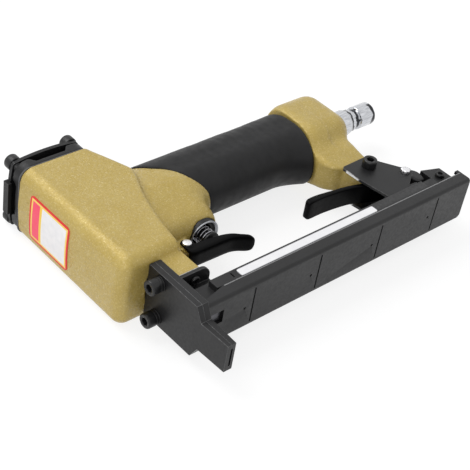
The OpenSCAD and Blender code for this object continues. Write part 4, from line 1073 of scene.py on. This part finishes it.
plug_rows = [(3.4, -10), (6.2, -10), (6.5, -9.6)]
for turn in range(8):
    plug_rows += [(6.5, -9.2 + turn * 1.1), (6.0, -8.7 + turn * 1.1)]
plug_rows += [
    (6.5, -0.3), (6.5, 0), (7.7, 0), (8, 0.3), (8, 1.7), (7.7, 2), (7.7, 2.6), (8, 2.9), (8, 13.6),
    (7.85, 14.1), (7.2, 14.9), (7.05, 15.2), (7.05, 18.2), (6.9, 18.6), (6.2, 19.3), (6, 19.6), (6, 22.6),
    (6.2, 22.9), (7, 23.2), (7.2, 23.5), (7.2, 34.6), (7.05, 35.2), (6.2, 36.2), (5.8, 36.5), (3.7, 36.5),
    (3.4, 36.2), (3.4, -10),
]
points, faces = rings(plug_rows, 72, False, False)
points = turned_to(points, "+x") + np.array([PLUG_FACE, HANDLE, 0])
piece("air_plug_form", points, faces, CHROME, "bright_plug", "body", "air_plug", degrees=30)


# Springs

valve_place = (VALVE_X, 0, 0)
valve_coil = helix("valve_spring_form", "valve_spring", "+y", 0.4, 6, valve_place, 4.9, 71.85, 84.75)
head_coil = helix("head_spring_form", "head_valve_spring", "+y", 0.6, 4, (0, 0, 0), 7, 136.1, 156.3)
pusher_place = (0, 29.7, 0)
pusher_coil = helix("pusher_spring_form", "pusher_spring", "+x", 0.3, 30, pusher_place, 2.2, 19.65, 180.65)
latch_coil = helix("latch_spring_form", "latch_spring", "+y", 0.4, 5, (165, 0, 0), 3, 40.05, 50.5)
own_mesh(valve_coil)
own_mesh(head_coil)
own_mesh(pusher_coil)
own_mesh(latch_coil)


# Labels

def label(name, node, size, corner, axis, place, finish, bend=0.0):
    """A film with round corners, bent back by bend times the square of the distance from its middle."""
    width, height = size
    thick = 0.3
    turn = corner * np.sin(np.linspace(0, math.pi / 2, 7))
    left = corner - width / 2 - turn
    right = width / 2 - corner + turn
    across = np.unique(np.concatenate([np.linspace(-width / 2, width / 2, 21), left, right]).round(6))
    over = np.maximum(np.abs(across) - width / 2 + corner, 0)
    reach = height / 2 - corner + np.sqrt(np.maximum(corner ** 2 - over ** 2, 0))
    fall = -bend * across ** 2
    count = len(across)
    made_points = []
    for level in (0, thick):
        for side in SIDES:
            made_points += [(across[i], side * reach[i], level + fall[i]) for i in range(count)]
    made_faces = []
    for i in range(count - 1):
        low, high, top_low, top_high = (i + k * count for k in range(4))
        made_faces += [
            (low, high, high + 1, low + 1),
            (top_low, top_low + 1, top_high + 1, top_high),
            (low, low + 1, top_low + 1, top_low),
            (high, top_high, top_high + 1, high + 1),
        ]
    for i, way in ((0, 1), (count - 1, -1)):
        made_faces.append((i, i + 2 * count, i + 3 * count, i + count)[::way])
    placed = turned_to(np.array(made_points), axis) + np.array(place)
    body = frame["nodes"][node]["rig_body"]
    piece(name, placed, made_faces, finish, "label_film", body, node, degrees=40)


front_place = (HEAD_FRONT, LABEL_Y, 0)
label("front_sticker", "front_label", LABEL_SIZE, 2.5, "-x", front_place, FRONT_FILM, HEAD_BOW)
label("strip_sticker", "magazine_label", STRIP_SIZE, 1.5, "+z", (*STRIP_PLACE, 14), STRIP_FILM)


# Finishes of the solids that stay as they are

O_RINGS = ["sleeve_o_rings", "piston_o_ring", "head_valve_o_ring", "bushing_o_ring", "stem_o_ring"]
for finish, nodes in [
    (BARE, ["blade_pin", "driver_blade", "pusher_rod"]),
    (SHADED_CORE, ["staple_core", "pusher"]),
    (ALUMINIUM, ["cylinder_sleeve", "piston", "plug_washer", "inlet_screen"]),
    (SEAL, O_RINGS + ["bumper"]),
    (NYLON, ["head_valve"]),
]:
    for node in nodes:
        data = frame["nodes"][node].data
        data.materials.clear()
        data.materials.append(finish)


# Floor, light and camera

def shown_rays(tree):
    """1 for rays from the camera, from reflections and through glass, and 0 for the rest."""
    path = tree.nodes.new("ShaderNodeLightPath")
    share = path.outputs["Is Camera Ray"]
    for kind in ("Is Glossy Ray", "Is Transmission Ray"):
        node = tree.nodes.new("ShaderNodeMath")
        node.operation = "MAXIMUM"
        tree.links.new(share, node.inputs[0])
        tree.links.new(path.outputs[kind], node.inputs[1])
        share = node.outputs[0]
    return share


def floor_finish():
    """Pale floor that shows white to the camera and in reflections, and keeps the shadow."""
    material = bpy.data.materials.new("floor")
    material.use_nodes = True
    tree = material.node_tree
    tree.nodes.clear()
    out = tree.nodes.new("ShaderNodeOutputMaterial")
    paint = tree.nodes.new("ShaderNodeBsdfDiffuse")
    tone = tree.nodes.new("ShaderNodeMix")
    tone.data_type = "RGBA"
    tone.inputs[6].default_value = (0.78, 0.78, 0.785, 1)
    tone.inputs[7].default_value = (0.28, 0.28, 0.282, 1)
    tree.links.new(tone.outputs[2], paint.inputs["Color"])
    glow = tree.nodes.new("ShaderNodeEmission")
    both = tree.nodes.new("ShaderNodeAddShader")
    shown = shown_rays(tree)
    level = tree.nodes.new("ShaderNodeMath")
    level.operation = "MULTIPLY"
    level.inputs[1].default_value = 0.8
    tree.links.new(shown, tone.inputs[0])
    tree.links.new(shown, level.inputs[0])
    tree.links.new(level.outputs[0], glow.inputs["Strength"])
    tree.links.new(paint.outputs[0], both.inputs[0])
    tree.links.new(glow.outputs[0], both.inputs[1])
    tree.links.new(both.outputs[0], out.inputs["Surface"])
    return material


FLOOR_HALF = 6
FLOOR_Z = -0.0221
floor_corners = [(-1, -1), (1, -1), (1, 1), (-1, 1)]
floor_points = [(FLOOR_HALF * i, FLOOR_HALF * j, FLOOR_Z) for i, j in floor_corners]
floor_data = bpy.data.meshes.new("floor")
floor_data.from_pydata(floor_points, [], [(0, 1, 2, 3)])
floor_data.materials.append(floor_finish())
floor = bpy.data.objects.new("floor", floor_data)
bpy.context.scene.collection.objects.link(floor)


def white_world():
    """White to the camera and in reflections, plain soft light for the rest."""
    world = bpy.data.worlds.new("studio")
    bpy.context.scene.world = world
    world.use_nodes = True
    tree = world.node_tree
    sky = tree.nodes["Background"]
    sky.inputs["Color"].default_value = (1, 1, 1, 1)
    level = tree.nodes.new("ShaderNodeMapRange")
    level.inputs["To Min"].default_value = 0.5
    level.inputs["To Max"].default_value = 1.0
    tree.links.new(shown_rays(tree), level.inputs["Value"])
    tree.links.new(level.outputs["Result"], sky.inputs["Strength"])


white_world()


def lamp(name, place, size, power):
    """A square soft light that faces the middle of the tool."""
    data = bpy.data.lights.new(name, "AREA")
    data.shape = "SQUARE"
    data.size = size
    data.energy = power
    made = bpy.data.objects.new(name, data)
    back = np.array(place) - np.array((0.09, 0.09, 0))
    back /= np.linalg.norm(back)
    right = np.cross((0.0, 1.0, 0.1), back)
    right /= np.linalg.norm(right)
    up = np.cross(back, right)
    turn = np.eye(4)
    turn[:3, 0] = right
    turn[:3, 1] = up
    turn[:3, 2] = back
    turn[:3, 3] = place
    made.matrix_world = Matrix(turn.tolist())
    bpy.context.scene.collection.objects.link(made)


lamp("key", (-0.25, 0.75, 1.05), 0.8, 7.5)
lamp("fill", (-1.0, -0.55, 0.6), 0.9, 5.0)

camera_data = bpy.data.cameras.new("camera")
camera_data.sensor_width = 36
camera_data.lens = 91.9
camera = bpy.data.objects.new("camera", camera_data)
ahead = np.array([0.5823, 0.5242, -0.6214])
ahead /= np.linalg.norm(ahead)
right = np.array([0.742, -0.655, 0.1428])
right -= right.dot(ahead) * ahead
right /= np.linalg.norm(right)
stand = np.eye(4)
stand[:3, 0] = right
stand[:3, 1] = np.cross(right, ahead)
stand[:3, 2] = -ahead
stand[:3, 3] = np.array([-309.4, -267.1, 397.2]) * MM
camera.matrix_world = Matrix(stand.tolist())
bpy.context.scene.collection.objects.link(camera)
bpy.context.scene.camera = camera
bpy.context.scene.view_settings.view_transform = "Standard"
